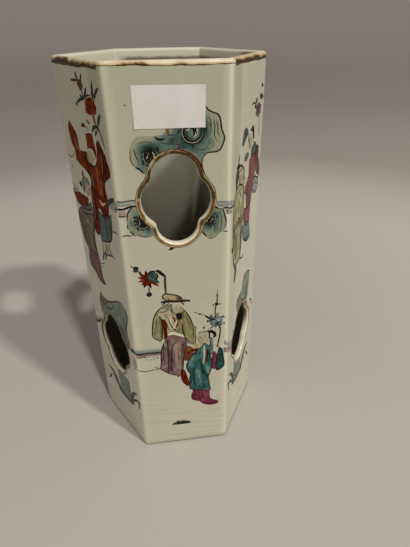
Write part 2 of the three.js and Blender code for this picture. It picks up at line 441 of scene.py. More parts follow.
for (wall, is_outer), edges in loose_edges.items():
    following = dict(edges)
    loop = [next(iter(following))]
    while following[loop[-1]] != loop[0]:
        loop.append(following[loop[-1]])
    back = Matrix.Rotation(-WALLS.index(wall) * TURN, 3, "Z")
    outline = [(back @ points[i]).xz for i in loop]
    flat, panel = mesh_fill(outline, [quatrefoil(wall, LIP_RADIUS)], PANEL_GRID)
    start = len(points)
    deep = 0.0 if is_outer else WALL
    points += [turned(wall, (across, deep - APOTHEM, up)) for across, up in flat]
    faces += [[start + i for i in face] for face in panel]


def ring_faces(rows, count, start=0, closed=True):
    """Quads between rings of one count of points, and from the last ring back to the first if they
    close."""
    faces = []
    for row in range(rows if closed else rows - 1):
        here = start + row * count
        upper = start + (row + 1) % rows * count
        for i in range(count):
            j = (i + 1) % count
            faces.append([here + i, here + j, upper + j, upper + i])
    return faces


lip_turns = np.linspace(0, pi / 2, LIP_STEPS + 1)
lip_rows = [(LIP_RADIUS * (1 - sin(turn)), LIP_RADIUS * (1 - cos(turn))) for turn in lip_turns]
for wall in WALLS:
    start = len(points)
    count = len(quatrefoil(wall, 0))
    lips = lip_rows + [(growth, WALL - deep) for growth, deep in reversed(lip_rows)]
    for growth, deep in lips:
        points += [turned(wall, (across, deep - APOTHEM, up)) for across, up in quatrefoil(wall, growth)]
    faces += ring_faces(len(lips), count, start, closed=False)

floor_middle = len(points)
points += [Vector((0, 0, BASE_TOP + FLOOR_GLAZE)), Vector((0, 0, BASE_TOP - SLIP_COVE))]
last_ring = (len(section) - 1) * per_ring
for i in range(per_ring):
    j = (i + 1) % per_ring
    faces += [[last_ring + i, last_ring + j, floor_middle], [j, i, floor_middle + 1]]


WELD = 0.002
SHARP_FROM = radians(50)


def made(name, points, faces, finishes, finish_of=None, painted=None):
    """A piece of the vase from its points in millimetres, with a value of each painted kind at every
    point."""
    mesh = bpy.data.meshes.new(name)
    mesh.from_pydata([Vector(point) * MM for point in points], [], faces)
    for kind, values in (painted or {}).items():
        mesh.attributes.new(kind, "FLOAT", "POINT").data.foreach_set("value",
            [float(value) for value in values])
    for finish in finishes:
        mesh.materials.append(finish.material)
    if finish_of:
        mesh.polygons.foreach_set("material_index", finish_of)
    edit = bmesh.new()
    edit.from_mesh(mesh)
    bmesh.ops.remove_doubles(edit, verts=edit.verts, dist=WELD * MM)
    bmesh.ops.recalc_face_normals(edit, faces=edit.faces)
    edit.to_mesh(mesh)
    edit.free()
    mesh.shade_smooth()
    mesh.set_sharp_from_angle(angle=SHARP_FROM)
    piece = bpy.data.objects.new(name, mesh)
    bpy.context.scene.collection.objects.link(piece)
    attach(piece, "root")
    return piece


def depth(point):
    """How deep a point lies under the outer face of the nearest wall."""
    from_middle = (atan2(point[1], point[0]) + pi / 2 + TURN / 2) % TURN - TURN / 2
    return APOTHEM - hypot(point[0], point[1]) * cos(from_middle)


def from_corner(point):
    """How far round the body a point lies from the nearest corner."""
    return abs((atan2(point[1], point[0]) + pi / 2) % TURN - TURN / 2) * APOTHEM


SKIN = 0.4


def thin_glaze_and_painted_light(point):
    """How pale the glaze is at a point: thin glaze and a painted highlight on the arrises, and painted light
    on the cut faces of the openings, all over the right wall, high on the left one and high inside the mouth."""
    if SKIN < depth(point) < WALL - SKIN:
        return 1
    if depth(point) < SKIN:
        beside = 0
        if -45 < point[1] < 0:
            beside = 0.5 if point[0] > 0 else 0.35 * clamped((point[2] - 165) / 40)
        return max(beside, exp(-(from_corner(point) / 1.8) ** 2))
    return clamped((point[2] - HEIGHT + 45) / 40)


def inside_painted_shade(point):
    """How far the inside is painted darker, as painted shade, towards the floor and in the
    corners."""
    if depth(point) < WALL - SKIN:
        return 0
    below_mouth = max(0, HEIGHT - 20 - point[2])
    return min(1, below_mouth / 145 + 0.3 * exp(-(from_corner(point) / 9) ** 2) * min(1, below_mouth / 30))


def cut_face_painted_shade(point):
    """How dark the cut faces of the low openings beside the front are painted, as painted shade:
    all the left one's, and the upper part of the right one's."""
    if point[1] > 0 or not 50 < point[2] < HEIGHT / 2 or not SKIN < depth(point) < WALL + 3:
        return 0
    if point[0] < 0:
        return clamped((depth(point) - 0.6) / 2)
    return 0.75 * clamped(depth(point) - 0.8) * clamped((point[2] - LOWER_OPENING_ABOVE_FOOT) / 14 + 0.6)


def brown_inside_mouth(point):
    """How much brown lies inside the mouth: the rim's brown on its right, up to the lip, and at the back a
    dark band below the lip, counted as half."""
    if depth(point) < WALL - SKIN or point[2] < HEIGHT - 30:
        return 0
    right = 0.85 * clamped((point[0] - 46) / 8)
    behind = 0.5 * clamped((point[0] + 30) / 8) * clamped(point[1] / 20)
    return max(right, behind)


glaze = Finish("clear_glaze_on_porcelain", roughness=0.1)
risen_share = glaze.height() * (1 / (HEIGHT * MM))
dingy = glaze.painted("dingy")
wiped = glaze.painted("wiped")
cloud = glaze.ramp(glaze.grain(30, 4), [(0.3, shade(181, 179, 158)), (0.7, shade(189, 187, 167))])
cast = glaze.mix(glaze.ramp(glaze.grain(9, 5), [(0.45, 0.0), (0.75, 0.5)]), cloud, shade(190, 192, 170))
# Painted light and shade: paler towards the foot, as painted light from the floor, darker towards the rim.
cast = glaze.mix(
    glaze.ramp(risen_share, [(0.1, 0.55), (0.4, 0.22), (0.75, 0.0)]), cast, shade(218, 212, 192)
)
cast = glaze.mix(glaze.ramp(risen_share, [(0.6, 0.0), (1.0, 0.3)]), cast, shade(160, 154, 130))
# Paler glaze by the attribute thin: thin glaze and painted highlight on the arrises, painted light elsewhere.
cast = glaze.mix(glaze.painted("thin") * 0.75, cast, shade(226, 218, 196))
# Painted shade inside the vase, deepest towards the floor and in the corners.
cast = glaze.mix(glaze.ramp(dingy, [(0.1, 0.0), (0.35, 0.1), (1.0, 0.84)]), cast, shade(84, 76, 50))
# Painted shade on the cut faces of the low openings beside the front.
cast = glaze.mix(glaze.painted("stained"), cast, shade(52, 42, 22))
below_rim = glaze.height() * (-1 / MM) + HEIGHT
band = glaze.ramp(
    (below_rim + glaze.grain(5, 3) * 2) * (1 / 20), [(0.28, 0.0), (0.36, 1.0), (0.6, 1.0), (0.9, 0.0)]
)
to_lip = glaze.ramp(wiped, [(0.5, 0.0), (0.9, 1.0)]) * glaze.ramp(
    below_rim * (1 / 20), [(0.5, 1.0), (0.9, 0.0)]
)
in_band = glaze.ramp(wiped, [(0.1, 0.0), (0.5, 1.0)]) * band
# Brown inside the mouth: on the right up to the lip, and a dark band below the lip at the back.
cast = glaze.mix(in_band.maths("MAXIMUM", to_lip) * 0.8, cast, shade(98, 74, 44))
speck_size = glaze.ramp(glaze.cells(13), [(0.018, 1.0), (0.035, 0.0)])
chosen = glaze.ramp(glaze.cells(13, output="Color"), [(0.5, 0.0), (0.6, 0.8)])
cast = glaze.mix(speck_size * chosen, cast, shade(92, 74, 50))
wiping = glaze.ramp(glaze.grain(2.2, 4, stretch=(0.1, 0.1, 1)), [(0.5, 0.0), (0.66, 0.2)])
low_down = glaze.ramp(risen_share, [(0.05, 1.0), (0.16, 0.7), (0.3, 0.0)])
cast = glaze.mix(wiping * low_down, cast, shade(150, 138, 112))
# Darker at the foot: grime on the bare foot rim and a painted contact shadow.
foot_grime_and_contact_shadow = glaze.ramp(glaze.height() * (1 / (4 * MM)) + glaze.grain(5, 4) * 0.3, [(0.28, 0.85), (0.62, 0.0)])
glaze.colour(glaze.mix(foot_grime_and_contact_shadow, cast, shade(70, 60, 46)))
pinholes = glaze.ramp(glaze.cells(7), [(0.02, 0.0), (0.05, 1.0)])
glaze.bump(glaze.grain(7, 3) + pinholes * 0.15 + glaze.grain(0.7, 2) * 0.03, 0.12, 0.35)
uneven = glaze.ramp(glaze.grain(2.5, 5), [(0.35, 0.07), (0.7, 0.17)])
glaze.roughness(uneven + glaze.ramp(dingy, [(0.05, 0.0), (0.3, 0.55)]))

body = made("glazed_body", [warped(point) for point in points], faces, [glaze], None,
            {"thin": map(thin_glaze_and_painted_light, points), "dingy": map(inside_painted_shade, points), "stained": map(cut_face_painted_shade, points),
             "wiped": map(brown_inside_mouth, points)})
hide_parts(*["wall_" + wall for wall in WALLS], "base_coil",
    *["corner_coil_" + corner for corner in CORNERS])


# The base slab: a plate set up inside the walls, whose underside was left bare, so that it fired to a buff
# biscuit. It stays the CAD node's own shape.
biscuit = Finish("bare_biscuit", roughness=0.75)
biscuit.colour(biscuit.ramp(biscuit.grain(8, 5), [(0.3, shade(178, 158, 128)), (0.7, shade(206, 190, 160))]))
biscuit.bump(biscuit.grain(0.6, 4), 0.1, 0.5)
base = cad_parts["base_slab"]
base.data.materials.clear()
base.data.materials.append(biscuit.material)


# The rim's dressing: iron brown was wiped round the crest of the lip before the glaze fire, to keep it from
# chipping. It ran down unevenly, is darkest at its lower edge and has worn to tan on the crest.
DRESSING = 0.06
RIM_STEPS = 120
CREST_INSET = 3.4


def dressed_ring(inset, height, corner, growth, ragged):
    """A ring of the dressing that stands a little out from the glaze, with its height ragged by some
    amount. On the front it was wiped off again along its lower edge, and on the left it ran down
    furthest."""
    ring = body_ring(inset - growth, max(corner + growth, 0.1), height, RIM_STEPS)
    for point in ring:
        along = Vector((point.x, point.y, 0))
        lift = noise.noise(along / 9) * 0.6 + noise.noise(
            along / 2.5
        ) * 0.25 + noise.noise(along / 40) * 0.5
        if point.y < ARRIS_RADIUS - APOTHEM:
            lift += 0.8
        elif point.y < 0:
            lift -= 0.7 if point.x < 0 else 0.2
        point.z += ragged * min(1.3, lift)
    return ring


def wear(point):
    """How far the brown has worn off at a place of the rim. It is thick on the walls beside the front, and
    on the front it stands in two runs."""
    sway = 0.1 + 0.5 * noise.noise(Vector((point.x, point.y, 3)) / 17)
    if point.y > 0 or abs(point.x) < 20 and point.y > -40:
        return sway
    if point.y > ARRIS_RADIUS - APOTHEM:
        lumps = 0.22 * noise.noise(Vector((point.x, point.y, 3)) / 7)
        # On the left wall the brown darkens towards the corner, partly as painted shade.
        return 0.3 * sway + lumps - (0.18 + 0.1 * clamped((-point.x - 44) / 12) if point.x < 0 else 0.2)
    runs = 0.34 * exp(-((point.x + 17.9) / 8) ** 4) + 0.2 * exp(-((point.x - 9.7) / 10) ** 4)
    return 0.16 - runs + 0.2 * noise.noise(Vector((point.x, point.y, 3)) / 6)


rim_rows = [
    (0, HEIGHT - 3.5, ARRIS_RADIUS, -0.04, 1.0, 0.0), (0, HEIGHT - 3.2, ARRIS_RADIUS, DRESSING, 1.0, 0.08)
]
rim_rows += [(0, HEIGHT - 2.7, ARRIS_RADIUS, DRESSING, 0.7, 0.24),
    (0, HEIGHT - LIP_RADIUS, ARRIS_RADIUS, DRESSING, 0.2, 0.42)]
for turn in np.linspace(0, pi / 2, 7)[1:]:
    inset = LIP_RADIUS - (LIP_RADIUS + DRESSING) * cos(turn)
    rise = HEIGHT - LIP_RADIUS + (LIP_RADIUS + DRESSING) * sin(turn)
    rim_rows.append((inset, rise, ARRIS_RADIUS - inset, 0, 0, 0.42 + 0.45 * turn / (pi / 2)))
rim_rows += [(CREST_INSET - 0.4, HEIGHT + DRESSING - 0.01, 1, 0, 0, 0.97),
    (CREST_INSET, HEIGHT - 0.2, 1, 0, 0, 1.0)]
rim_rows += [(CREST_INSET, HEIGHT - 0.5, 1, 0, 0, 1.0), (0.6, HEIGHT - 3.0, ARRIS_RADIUS - 0.6, 0, 0, 0.0)]
rim_points = [
    p for inset, height, corner, growth, ragged,
    _ in rim_rows for p in dressed_ring(inset, height, corner, growth, ragged)
]
rim_count = len(rim_points) // len(rim_rows)
rim_part = [row[5] for row in rim_rows for _ in range(rim_count)]
rim_across = [part + wear(point) for part, point in zip(rim_part, rim_points)]
rim_faces = ring_faces(len(rim_rows), rim_count)

dressing = Finish("iron_brown_dressing", roughness=0.3)
dressing.shader.inputs["Specular IOR Level"].default_value = 0.2
wander = dressing.grain(6, 5) * 0.5 + dressing.grain(1.4, 4) * 0.22 - 0.36
tan_wash = dressing.ramp(
    dressing.painted("across") + wander * 0.9, [(0.0, shade(84, 60, 28)), (0.06, shade(46, 30, 8)),
    (0.26, shade(62, 42, 14)), (0.36, shade(140, 110, 66)), (0.48, shade(202, 180, 142)),
    (0.8, shade(228, 214, 184)), (1.0, shade(230, 220, 194))]
)
dressing.colour(dressing.mix(dressing.ramp(dressing.grain(0.6, 3), [(0.52, 0.0), (0.8, 0.35)]), tan_wash,
    shade(70, 48, 24)))
dressing.bump(dressing.grain(0.6, 3), 0.05, 0.5)
made("rim_dressing", [warped(point) for point in rim_points], rim_faces, [dressing],
    painted={"across": rim_across})


# The openings' edging: an iron-red line drawn round each opening on the glaze, with a band of gilding
# inside it, mostly rubbed away, and a wide brown stroke down on the rounded lip, which is thickest over the
# top.
EDGING_STEPS = 48
edging = Finish("worn_red_and_gilt_edging", roughness=0.26)
edging.shader.inputs["Specular IOR Level"].default_value = 0.3
wander = edging.grain(5, 4) * 0.8 + edging.grain(1.3, 4) * 0.35 - 0.57
spread = edging.painted("across") + wander * 0.3
new_edging = edging.ramp(
    spread, [(0.0, shade(90, 66, 36)), (0.08, shade(42, 28, 8)), (0.19, shade(108, 78, 40)),
    (0.31, shade(208, 180, 132)), (0.42, shade(132, 100, 50)), (0.52, shade(62, 44, 12)),
    (0.76, shade(54, 38, 10)), (0.88, shade(140, 116, 70)), (1.0, shade(200, 188, 150))]
)
# Rubbed gilding, and a painted highlight: pale cream on the lips where they face up.
rubbed_and_lit_edging = edging.ramp(
    spread, [(0.0, shade(104, 78, 44)), (0.08, shade(54, 36, 12)), (0.2, shade(158, 126, 76)),
    (0.34, shade(196, 170, 122)), (0.45, shade(84, 60, 22)), (0.56, shade(124, 94, 50)),
    (0.66, shade(200, 178, 138)), (0.77, shade(236, 226, 198)), (1.0, shade(238, 230, 204))]
)
brown_lengths = edging.ramp(edging.grain(8, 3) + edging.painted("kept") * 0.14, [(0.54, 0.0), (0.62, 0.9)])
stroke = edging.ramp(spread, [(0.22, 0.0), (0.34, 1.0), (0.66, 1.0), (0.8, 0.0)])
gleam = edging.ramp(edging.grain(6, 3, stretch=(1, 1, 0.7)), [(0.56, 0.0), (0.64, 0.7)])
gleam = gleam * edging.ramp(edging.painted("across"), [(0.2, 0.0), (0.3, 1.0)])
browned = edging.mix(
    edging.ramp(edging.painted("kept") + wander * 1.2, [(0.35, 1.0), (0.65, 0.0)]), new_edging,
    rubbed_and_lit_edging
)
browned = edging.mix(gleam, browned, shade(206, 188, 150))
brown = edging.ramp(edging.grain(1.6, 3), [(0.35, shade(52, 38, 10)), (0.65, shade(106, 80, 36))])
edging.colour(edging.mix(brown_lengths * stroke, browned, brown))
edging.roughness(edging.ramp(edging.grain(1.2, 3), [(0.3, 0.18), (0.7, 0.36)]))
edging.bump(edging.grain(0.5, 3), 0.04, 0.5)
edging_rows = [(3.4, -0.04, 0.0), (3.2, 0.05, 0.07), (2.6, 0.06, 0.3), (LIP_RADIUS, 0.06, 0.5)]
for turn in (15, 30, 42, 50):
    reach = LIP_RADIUS + 0.06
    growth = LIP_RADIUS - reach * sin(radians(turn))
    edging_rows.append((growth, reach * cos(radians(turn)) - LIP_RADIUS, 0.5 + 0.45 * turn / 50))
edging_rows += [(0.6, -1.0, 1.0), (0.9, -1.1, 1.0), (3.0, -0.25, 0.1)]
for wall in WALLS:
    edging_points, across, kept = [], [], []
    for growth, out, part in edging_rows:
        for place in quatrefoil(wall, growth, EDGING_STEPS):
            sway = 0.28 * noise.noise(Vector((*place, WALLS.index(wall) * 7)) / 5) if part < 0.2 else 0
            from_middle = Vector(place) - Vector(opening(wall)[:2])
            place = Vector(place) + from_middle.normalized() * sway
            edging_points.append(on_wall(wall, place.x, place.y, out))
            risen = 0.5 + 0.5 * from_middle.y / (TALL_LOBE_RADIUS + UPPER_TALL_LOBE_OFFSET)
            across.append(part - max(0, part - 0.5) * 0.6 * clamped((risen - 0.05) * 5) * (wall == "front"))
            # The lower part of each edging takes the rubbed look with its painted highlight; the left wall's
            # is kept darker, as painted shade.
            kept.append(risen + {"front": 0, "front_left": 0.3}.get(wall, -0.25))
    edging_faces = ring_faces(len(edging_rows), 4 * EDGING_STEPS)
    made(wall + "_opening_edging", edging_points, edging_faces, [edging], None,
        {"across": across, "kept": kept})


# The rocks: pierced garden rocks in turquoise enamel over brush lines, olive at their edges and black round
# their hollows. Like all the painting, they lie on the fired glaze and stand a little proud of it.
ENAMEL_BUMP = 0.05
BRUSH_STEP = 0.45


class Enamel:
    """The look of one enamel or line pigment, from thin and pale (tone 0) to thick and dark (tone 1)."""

    def __init__(self, name, stops, roughness=0.25, streak=0.3, crazed=False, shine=0.14):
        finish = Finish(name, roughness)
        finish.shader.inputs["Specular IOR Level"].default_value = shine
        brushed = finish.grain(2.2, 4, stretch=(1, 1, 0.35)) * streak + finish.grain(0.45, 3) * streak * 0.6
        tone = finish.painted("tone") + brushed - streak * 0.8
        colour = finish.ramp(tone, [(i / (len(stops) - 1), shade(*stop)) for i, stop in enumerate(stops)])
        if crazed:
            cracks = finish.ramp(finish.cells(1.3, "DISTANCE_TO_EDGE"), [(0.0, 0.3), (0.05, 0.0)])
            colour = finish.mix(cracks * 0.28, colour, shade(*stops[-1]))
        finish.colour(colour)
        finish.roughness(finish.ramp(finish.grain(1.1, 4), [(0.3, roughness * 0.7), (0.7, roughness * 1.4)]))
        finish.bump(finish.grain(0.9, 4) + finish.grain(0.25, 2) * 0.3, ENAMEL_BUMP, 0.5)
        self.finish = finish


ROCK_ENAMEL = Enamel(
    "rock_turquoise",
    [(152, 153, 128), (132, 141, 118), (98, 120, 108), (66, 88, 82), (32, 43, 40), (9, 12, 12)], crazed=True
)
INK = Enamel(
    "sepia_ink", [(124, 102, 76), (80, 62, 42), (46, 34, 23), (26, 19, 13), (12, 9, 7)], roughness=0.5
)
COPING_ENAMEL = Enamel("coping_teal", [(172, 174, 156), (142, 152, 142), (104, 124, 122), (66, 84, 86)])
CREAM_ENAMEL = Enamel(
    "cream_white_enamel", [(226, 218, 194), (212, 202, 172), (190, 176, 142), (150, 134, 104)]
)
WASH_RISE = 0.09
LINE_RISE = 0.14
SUNK = -0.05
BRUSH_SPREAD = 1.45  # how far the hairs spread under the hand
EDGING_REACH = 3.0


def brush_path(places, step, closed=False):
    """A smooth line through listed places. A place with a third value is a corner."""
    at = [Vector(place[:2]) for place in places]
    corner = [len(place) > 2 for place in places]
    count = len(at)
    path = []
    for i in range(count if closed else count - 1):
        j = (i + 1) % count
        start, end = at[i], at[j]
        before = at[i - 1] if (closed or i) and not corner[i] else start
        after = at[(j + 1) % count] if (closed or j + 1 < count) and not corner[j] else end
        span = (end - start).length
        leave = (end - before) * span / (span + (start - before).length)
        arrive = (after - start) * span / (span + (after - end).length)
        pieces = max(1, round(span / step))
        for k in range(pieces):
            t = k / pieces
            path.append(
                start * (2 * t ** 3 - 3 * t ** 2 + 1) + leave * (t ** 3 - 2 * t ** 2 + t)
                + end * (3 * t ** 2 - 2 * t ** 3) + arrive * (t ** 3 - t ** 2)
            )
    return path if closed else [*path, at[-1]]


class Painting:
    """A motif painted on one wall. Its places are in millimetres across and up the wall, and can be moved
    or turned over left for right, so that a painter's stock figure serves on more than one wall."""

    def __init__(self, wall, shift=(0, 0), flipped=False):
        self.wall = wall
        self.shift = shift
        self.side = -1 if flipped else 1
        self.points, self.faces, self.tones = [], [], []
        self.pigments, self.pigment_of = [], []

    def set_out(self, places):
        """Places moved to where this painting has them."""
        across, up = self.shift
        return [(place[0] * self.side + across, place[1] + up, *place[2:]) for place in places]

    def lay(self, pigment, points, tones, faces):
        if pigment not in self.pigments:
            self.pigments.append(pigment)
        start = len(self.points)
        self.points += points
        self.tones += tones
        self.faces += [[start + i for i in face] for face in faces]
        self.pigment_of += [self.pigments.index(pigment)] * len(faces)

    def wash(self, pigment, outline, tone=0.4, pools=(), edge=0.2, rise=WASH_RISE, grid=0.9, mottle=0.12):
        """A filled shape of enamel. Its pools, a point or a line with a reach and a change of tone, darken
        or thin it."""
        border = brush_path(self.set_out(outline), min(0.7, grid), closed=True)
        if sum(a.x * b.y - b.x * a.y for a, b in zip(border, border[1:] + border[:1])) < 0:
            border.reverse()
        opening_edge = quatrefoil(self.wall, EDGING_REACH, 24)
        cut = within(border, opening_edge).any()
        holes = [opening_edge] if cut else []
        rims = []
        for i, place in enumerate(border):
            along = (border[(i + 1) % len(border)] - border[i - 1]).normalized()
            rims.append((place.x - along.y * RIM_INSET, place.y + along.x * RIM_INSET))
        flat, triangles = mesh_fill(border, holes, grid, rims)
        used = sorted({i for face in triangles for i in face})
        renumbered = {old: new for new, old in enumerate(used)}
        flat, triangles = flat[used], [[renumbered[i] for i in face] for face in triangles]
        distance = nearest(flat, border if not cut else [*border, *opening_edge])
        placed_pools = []
        for *ends, reach, change in pools:
            ends = self.set_out(zip(ends[::2], ends[1::2]))
            placed_pools.append((Vector(ends[0]), Vector(ends[-1]), reach, change))
        tones, outs = [], []
        for spot, far in zip(flat, distance):
            spot = Vector(spot)
            value = tone + edge * exp(-(far / 0.45) ** 2) + mottle * noise.noise(
                Vector((*spot, 3 * len(self.faces))) / 4
            )
            for start, end, reach, change in placed_pools:
                span = end - start
                part = clamped((spot - start).dot(span) / span.length_squared) if span.length_squared else 0
                value += change * exp(-((spot - start - span * part).length / reach) ** 2)
            tones.append(value)
            outs.append(SUNK if far < 0.01 else rise * min(1, 0.45 + far))
        count = len(flat)
        top = [on_wall(self.wall, *spot, out) for spot, out in zip(flat, outs)]
        under = [on_wall(self.wall, *spot, SUNK - 0.02) for spot in flat]
        rim_edges = {}
        for face in triangles:
            for a, b in zip(face, face[1:] + face[:1]):
                rim_edges[a, b] = (b, a) not in rim_edges
                if (b, a) in rim_edges:
                    rim_edges[b, a] = rim_edges[a, b] = False
        sides = [[a, count + a, count + b, b] for (a, b), open_edge in rim_edges.items() if open_edge]
        below = [[count + i for i in face[::-1]] for face in triangles]
        self.lay(pigment, top + under, tones * 2, triangles + below + sides)

    def line(
        self, pigment, places, width=0.45, tone=0.7, start=0.5, end=0.2, rise=LINE_RISE, over_edging=False
    ):
        """A stroke of a pointed brush, with its width at its start and end as parts of its middle's."""
        width *= BRUSH_SPREAD
        path = brush_path(self.set_out(places), BRUSH_STEP)
        clear = np.full(len(path), True) if over_edging else ~within(
            path, quatrefoil(self.wall, EDGING_REACH - 0.2)
        )
        count = len(path)
        runs, run = [], []
        for i in range(count):
            if clear[i]:
                run.append(i)
            if (not clear[i] or i == count - 1) and run:
                runs.append(run)
                run = []
        for run in runs:
            if len(run) < 2:
                continue
            points, tones = [], []
            for i in run:
                t = i / (count - 1)
                taper = start + (1 - start) * min(1, t / 0.2) if t < 0.5 else end + (1 - end) * min(
                    1, (1 - t) / 0.35
                )
                half = width / 2 * taper * (1 + 0.18 * noise.noise(Vector((*path[i], width * 9)) / 1.3))
                along = (path[min(i + 1, count - 1)] - path[max(i - 1, 0)]).normalized()
                across = Vector((-along.y, along.x))
                depth = min(1, 0.5 + taper)
                side = rise * 0.75 * depth
                for part, out in ((-1, SUNK), (-0.9, side), (0, rise * depth), (0.9, side), (1, SUNK)):
                    points.append(on_wall(self.wall, *(path[i] + across * half * part), out))
                    tones.append(tone * (0.8 + 0.2 * taper) - 0.08 * abs(part))
            faces = [[5 * i + a, 5 * i + b, 5 * i + 5 + b, 5 * i + 5 + a]
                     for i in range(len(run) - 1) for a, b in ((0, 1), (1, 2), (2, 3), (3, 4), (4, 0))]
            last = 5 * (len(run) - 1)
            faces += [[4, 3, 2, 1, 0], [last + k for k in range(5)]]
            self.lay(pigment, points, tones, faces)

    def lines(self, pigment, strokes, width=0.45, tone=0.7, **kind):
        for stroke in strokes:
            self.line(pigment, stroke, width, tone, **kind)

    def dab(self, pigment, middle, reach, tone=0.6, lean=0.0, pools=(), edge=0.15, **kind):
        """A small oval touch of the brush, so wide and high, leaning by some degrees."""
        wide, high = reach if hasattr(reach, "__len__") else (reach, reach)
        tilt = Matrix.Rotation(radians(lean), 2)
        oval = []
        for i in range(10):
            place = tilt @ Vector((wide / 2 * cos(i * pi / 5), high / 2 * sin(i * pi / 5)))
            oval.append((middle[0] + place.x, middle[1] + place.y))
        self.wash(pigment, oval, tone, pools, edge, grid=max(0.45, min(wide, high) / 3), **kind)

    def ring(self, pigment, middle, radius, width=0.45, tone=0.7, start_at=0, sweep=360, **kind):
        pieces = max(4, round(sweep / 30))
        turns = [radians(start_at + sweep * i / pieces) for i in range(pieces + 1)]
        places = [(middle[0] + radius * cos(turn), middle[1] + radius * sin(turn)) for turn in turns]
        self.line(pigment, places, width, tone, **kind)

    def petals(self, pigment, middle, tips, wide, tone=0.5, waist=0.55, vein=0.35):
        """Pointed petals or leaves that spread from one place, each with a vein of the same enamel laid on
        thicker."""
        middle = Vector(middle)
        for i, tip in enumerate(tips):
            away = Vector(tip) - middle
            side = Vector((-away.y, away.x)).normalized() * wide / 2
            belly = middle + away * waist
            shape = [middle - side * 0.4, belly - side, (*tip, 1), belly + side, middle + side * 0.4]
            shape = [tuple(place) for place in shape]
            self.wash(pigment, shape, tone + 0.12 * (i * 7 % 5 - 2) / 2, grid=0.6, mottle=0.25)
            if vein:
                self.line(pigment, [middle, middle + away * 0.8], vein, tone + 0.4, rise=0.17)

    def shape(
        self, pigment, outline, tone=0.4, pools=(), folds=(), fine=(), width=0.55, ink=0.75, rise=WASH_RISE,
        mottle=0.16, pen=INK
    ):
        """A wash with its outline drawn round it with a pen, and its folds in heavy and in fine lines."""
        self.wash(pigment, outline, tone, pools, rise=rise, mottle=mottle)
        corners = [i for i, place in enumerate(outline) if len(place) > 2] or [0]
        for first, last in zip(corners, corners[1:] + [corners[0] + len(outline)]):
            self.line(pen, [outline[i % len(outline)][:2] for i in range(first, last + 1)], width, ink,
                start=0.7, end=0.6)
        self.lines(pen, folds, width, ink, start=0.6, end=0.4)
        self.lines(pen, fine, width * 0.62, ink * 0.75)

    def fired(self, name):
        made(name, self.points, self.faces, [pigment.finish for pigment in self.pigments], self.pigment_of,
            {"tone": self.tones})


def hollow(rock, middle, radius, turn=0.0, depth=0.42):
    """A hollow through a rock: a black halo, a dark ring with a pale one inside it, and curls of ink and
    white."""
    x, z = middle

    def at(reach, angle):
        return (x + radius * reach * cos(radians(turn + angle)),
            z + radius * reach * sin(radians(turn + angle)))

    halo = [(*middle, radius * 1.35, 0.45)]
    rock.dab(ROCK_ENAMEL, middle, radius * 3.2, 0.5, rise=0.1, edge=-0.2, mottle=0.35, pools=halo)
    rock.dab(ROCK_ENAMEL, middle, radius * 1.7, depth, rise=0.13, mottle=0.3)
    fineness = radius / 5
    rock.ring(INK, middle, radius, 0.85 * fineness, 1.0, turn, 340)
    rock.ring(INK, middle, radius * 1.26, 0.45 * fineness, 0.9, turn + 200, 220)
    rock.ring(CREAM_ENAMEL, middle, radius * 1.13, 0.22 * fineness, 0.75, turn + 110, 250, rise=0.18)
    rock.ring(INK, middle, radius * 0.66, 0.5 * fineness, 1.0, turn + 60, 250)
    for ray in range(0, 360, 32):
        ray_line = [at(1.22, ray), at(1.5 + 0.22 * sin(ray * 1.7), ray + 24)]
        rock.line(ROCK_ENAMEL, ray_line, 1.1, 0.82, start=0.9, end=0.5, rise=0.12)
    for pigment, width, shade_of, curl in (
        (INK, 0.9, 1.0, ((0.6, 140), (0.45, 90), (0.2, 30), (0.3, -60), (0.6, -110))),
        (INK, 0.7, 1.0, ((0.62, 60), (0.4, 20), (0.55, -30))),
        (CREAM_ENAMEL, 0.42, 0.45, ((0.7, 165), (0.5, 120), (0.62, 80))),
        (CREAM_ENAMEL, 0.42, 0.45, ((0.3, -10), (0.5, -45), (0.45, -90))),
        (CREAM_ENAMEL, 0.42, 0.45, ((0.66, 30), (0.5, 10), (0.6, -20)))
    ):
        rock.line(pigment, [at(*place) for place in curl], width * fineness ** 0.7, shade_of, start=0.4,
            rise=0.19)


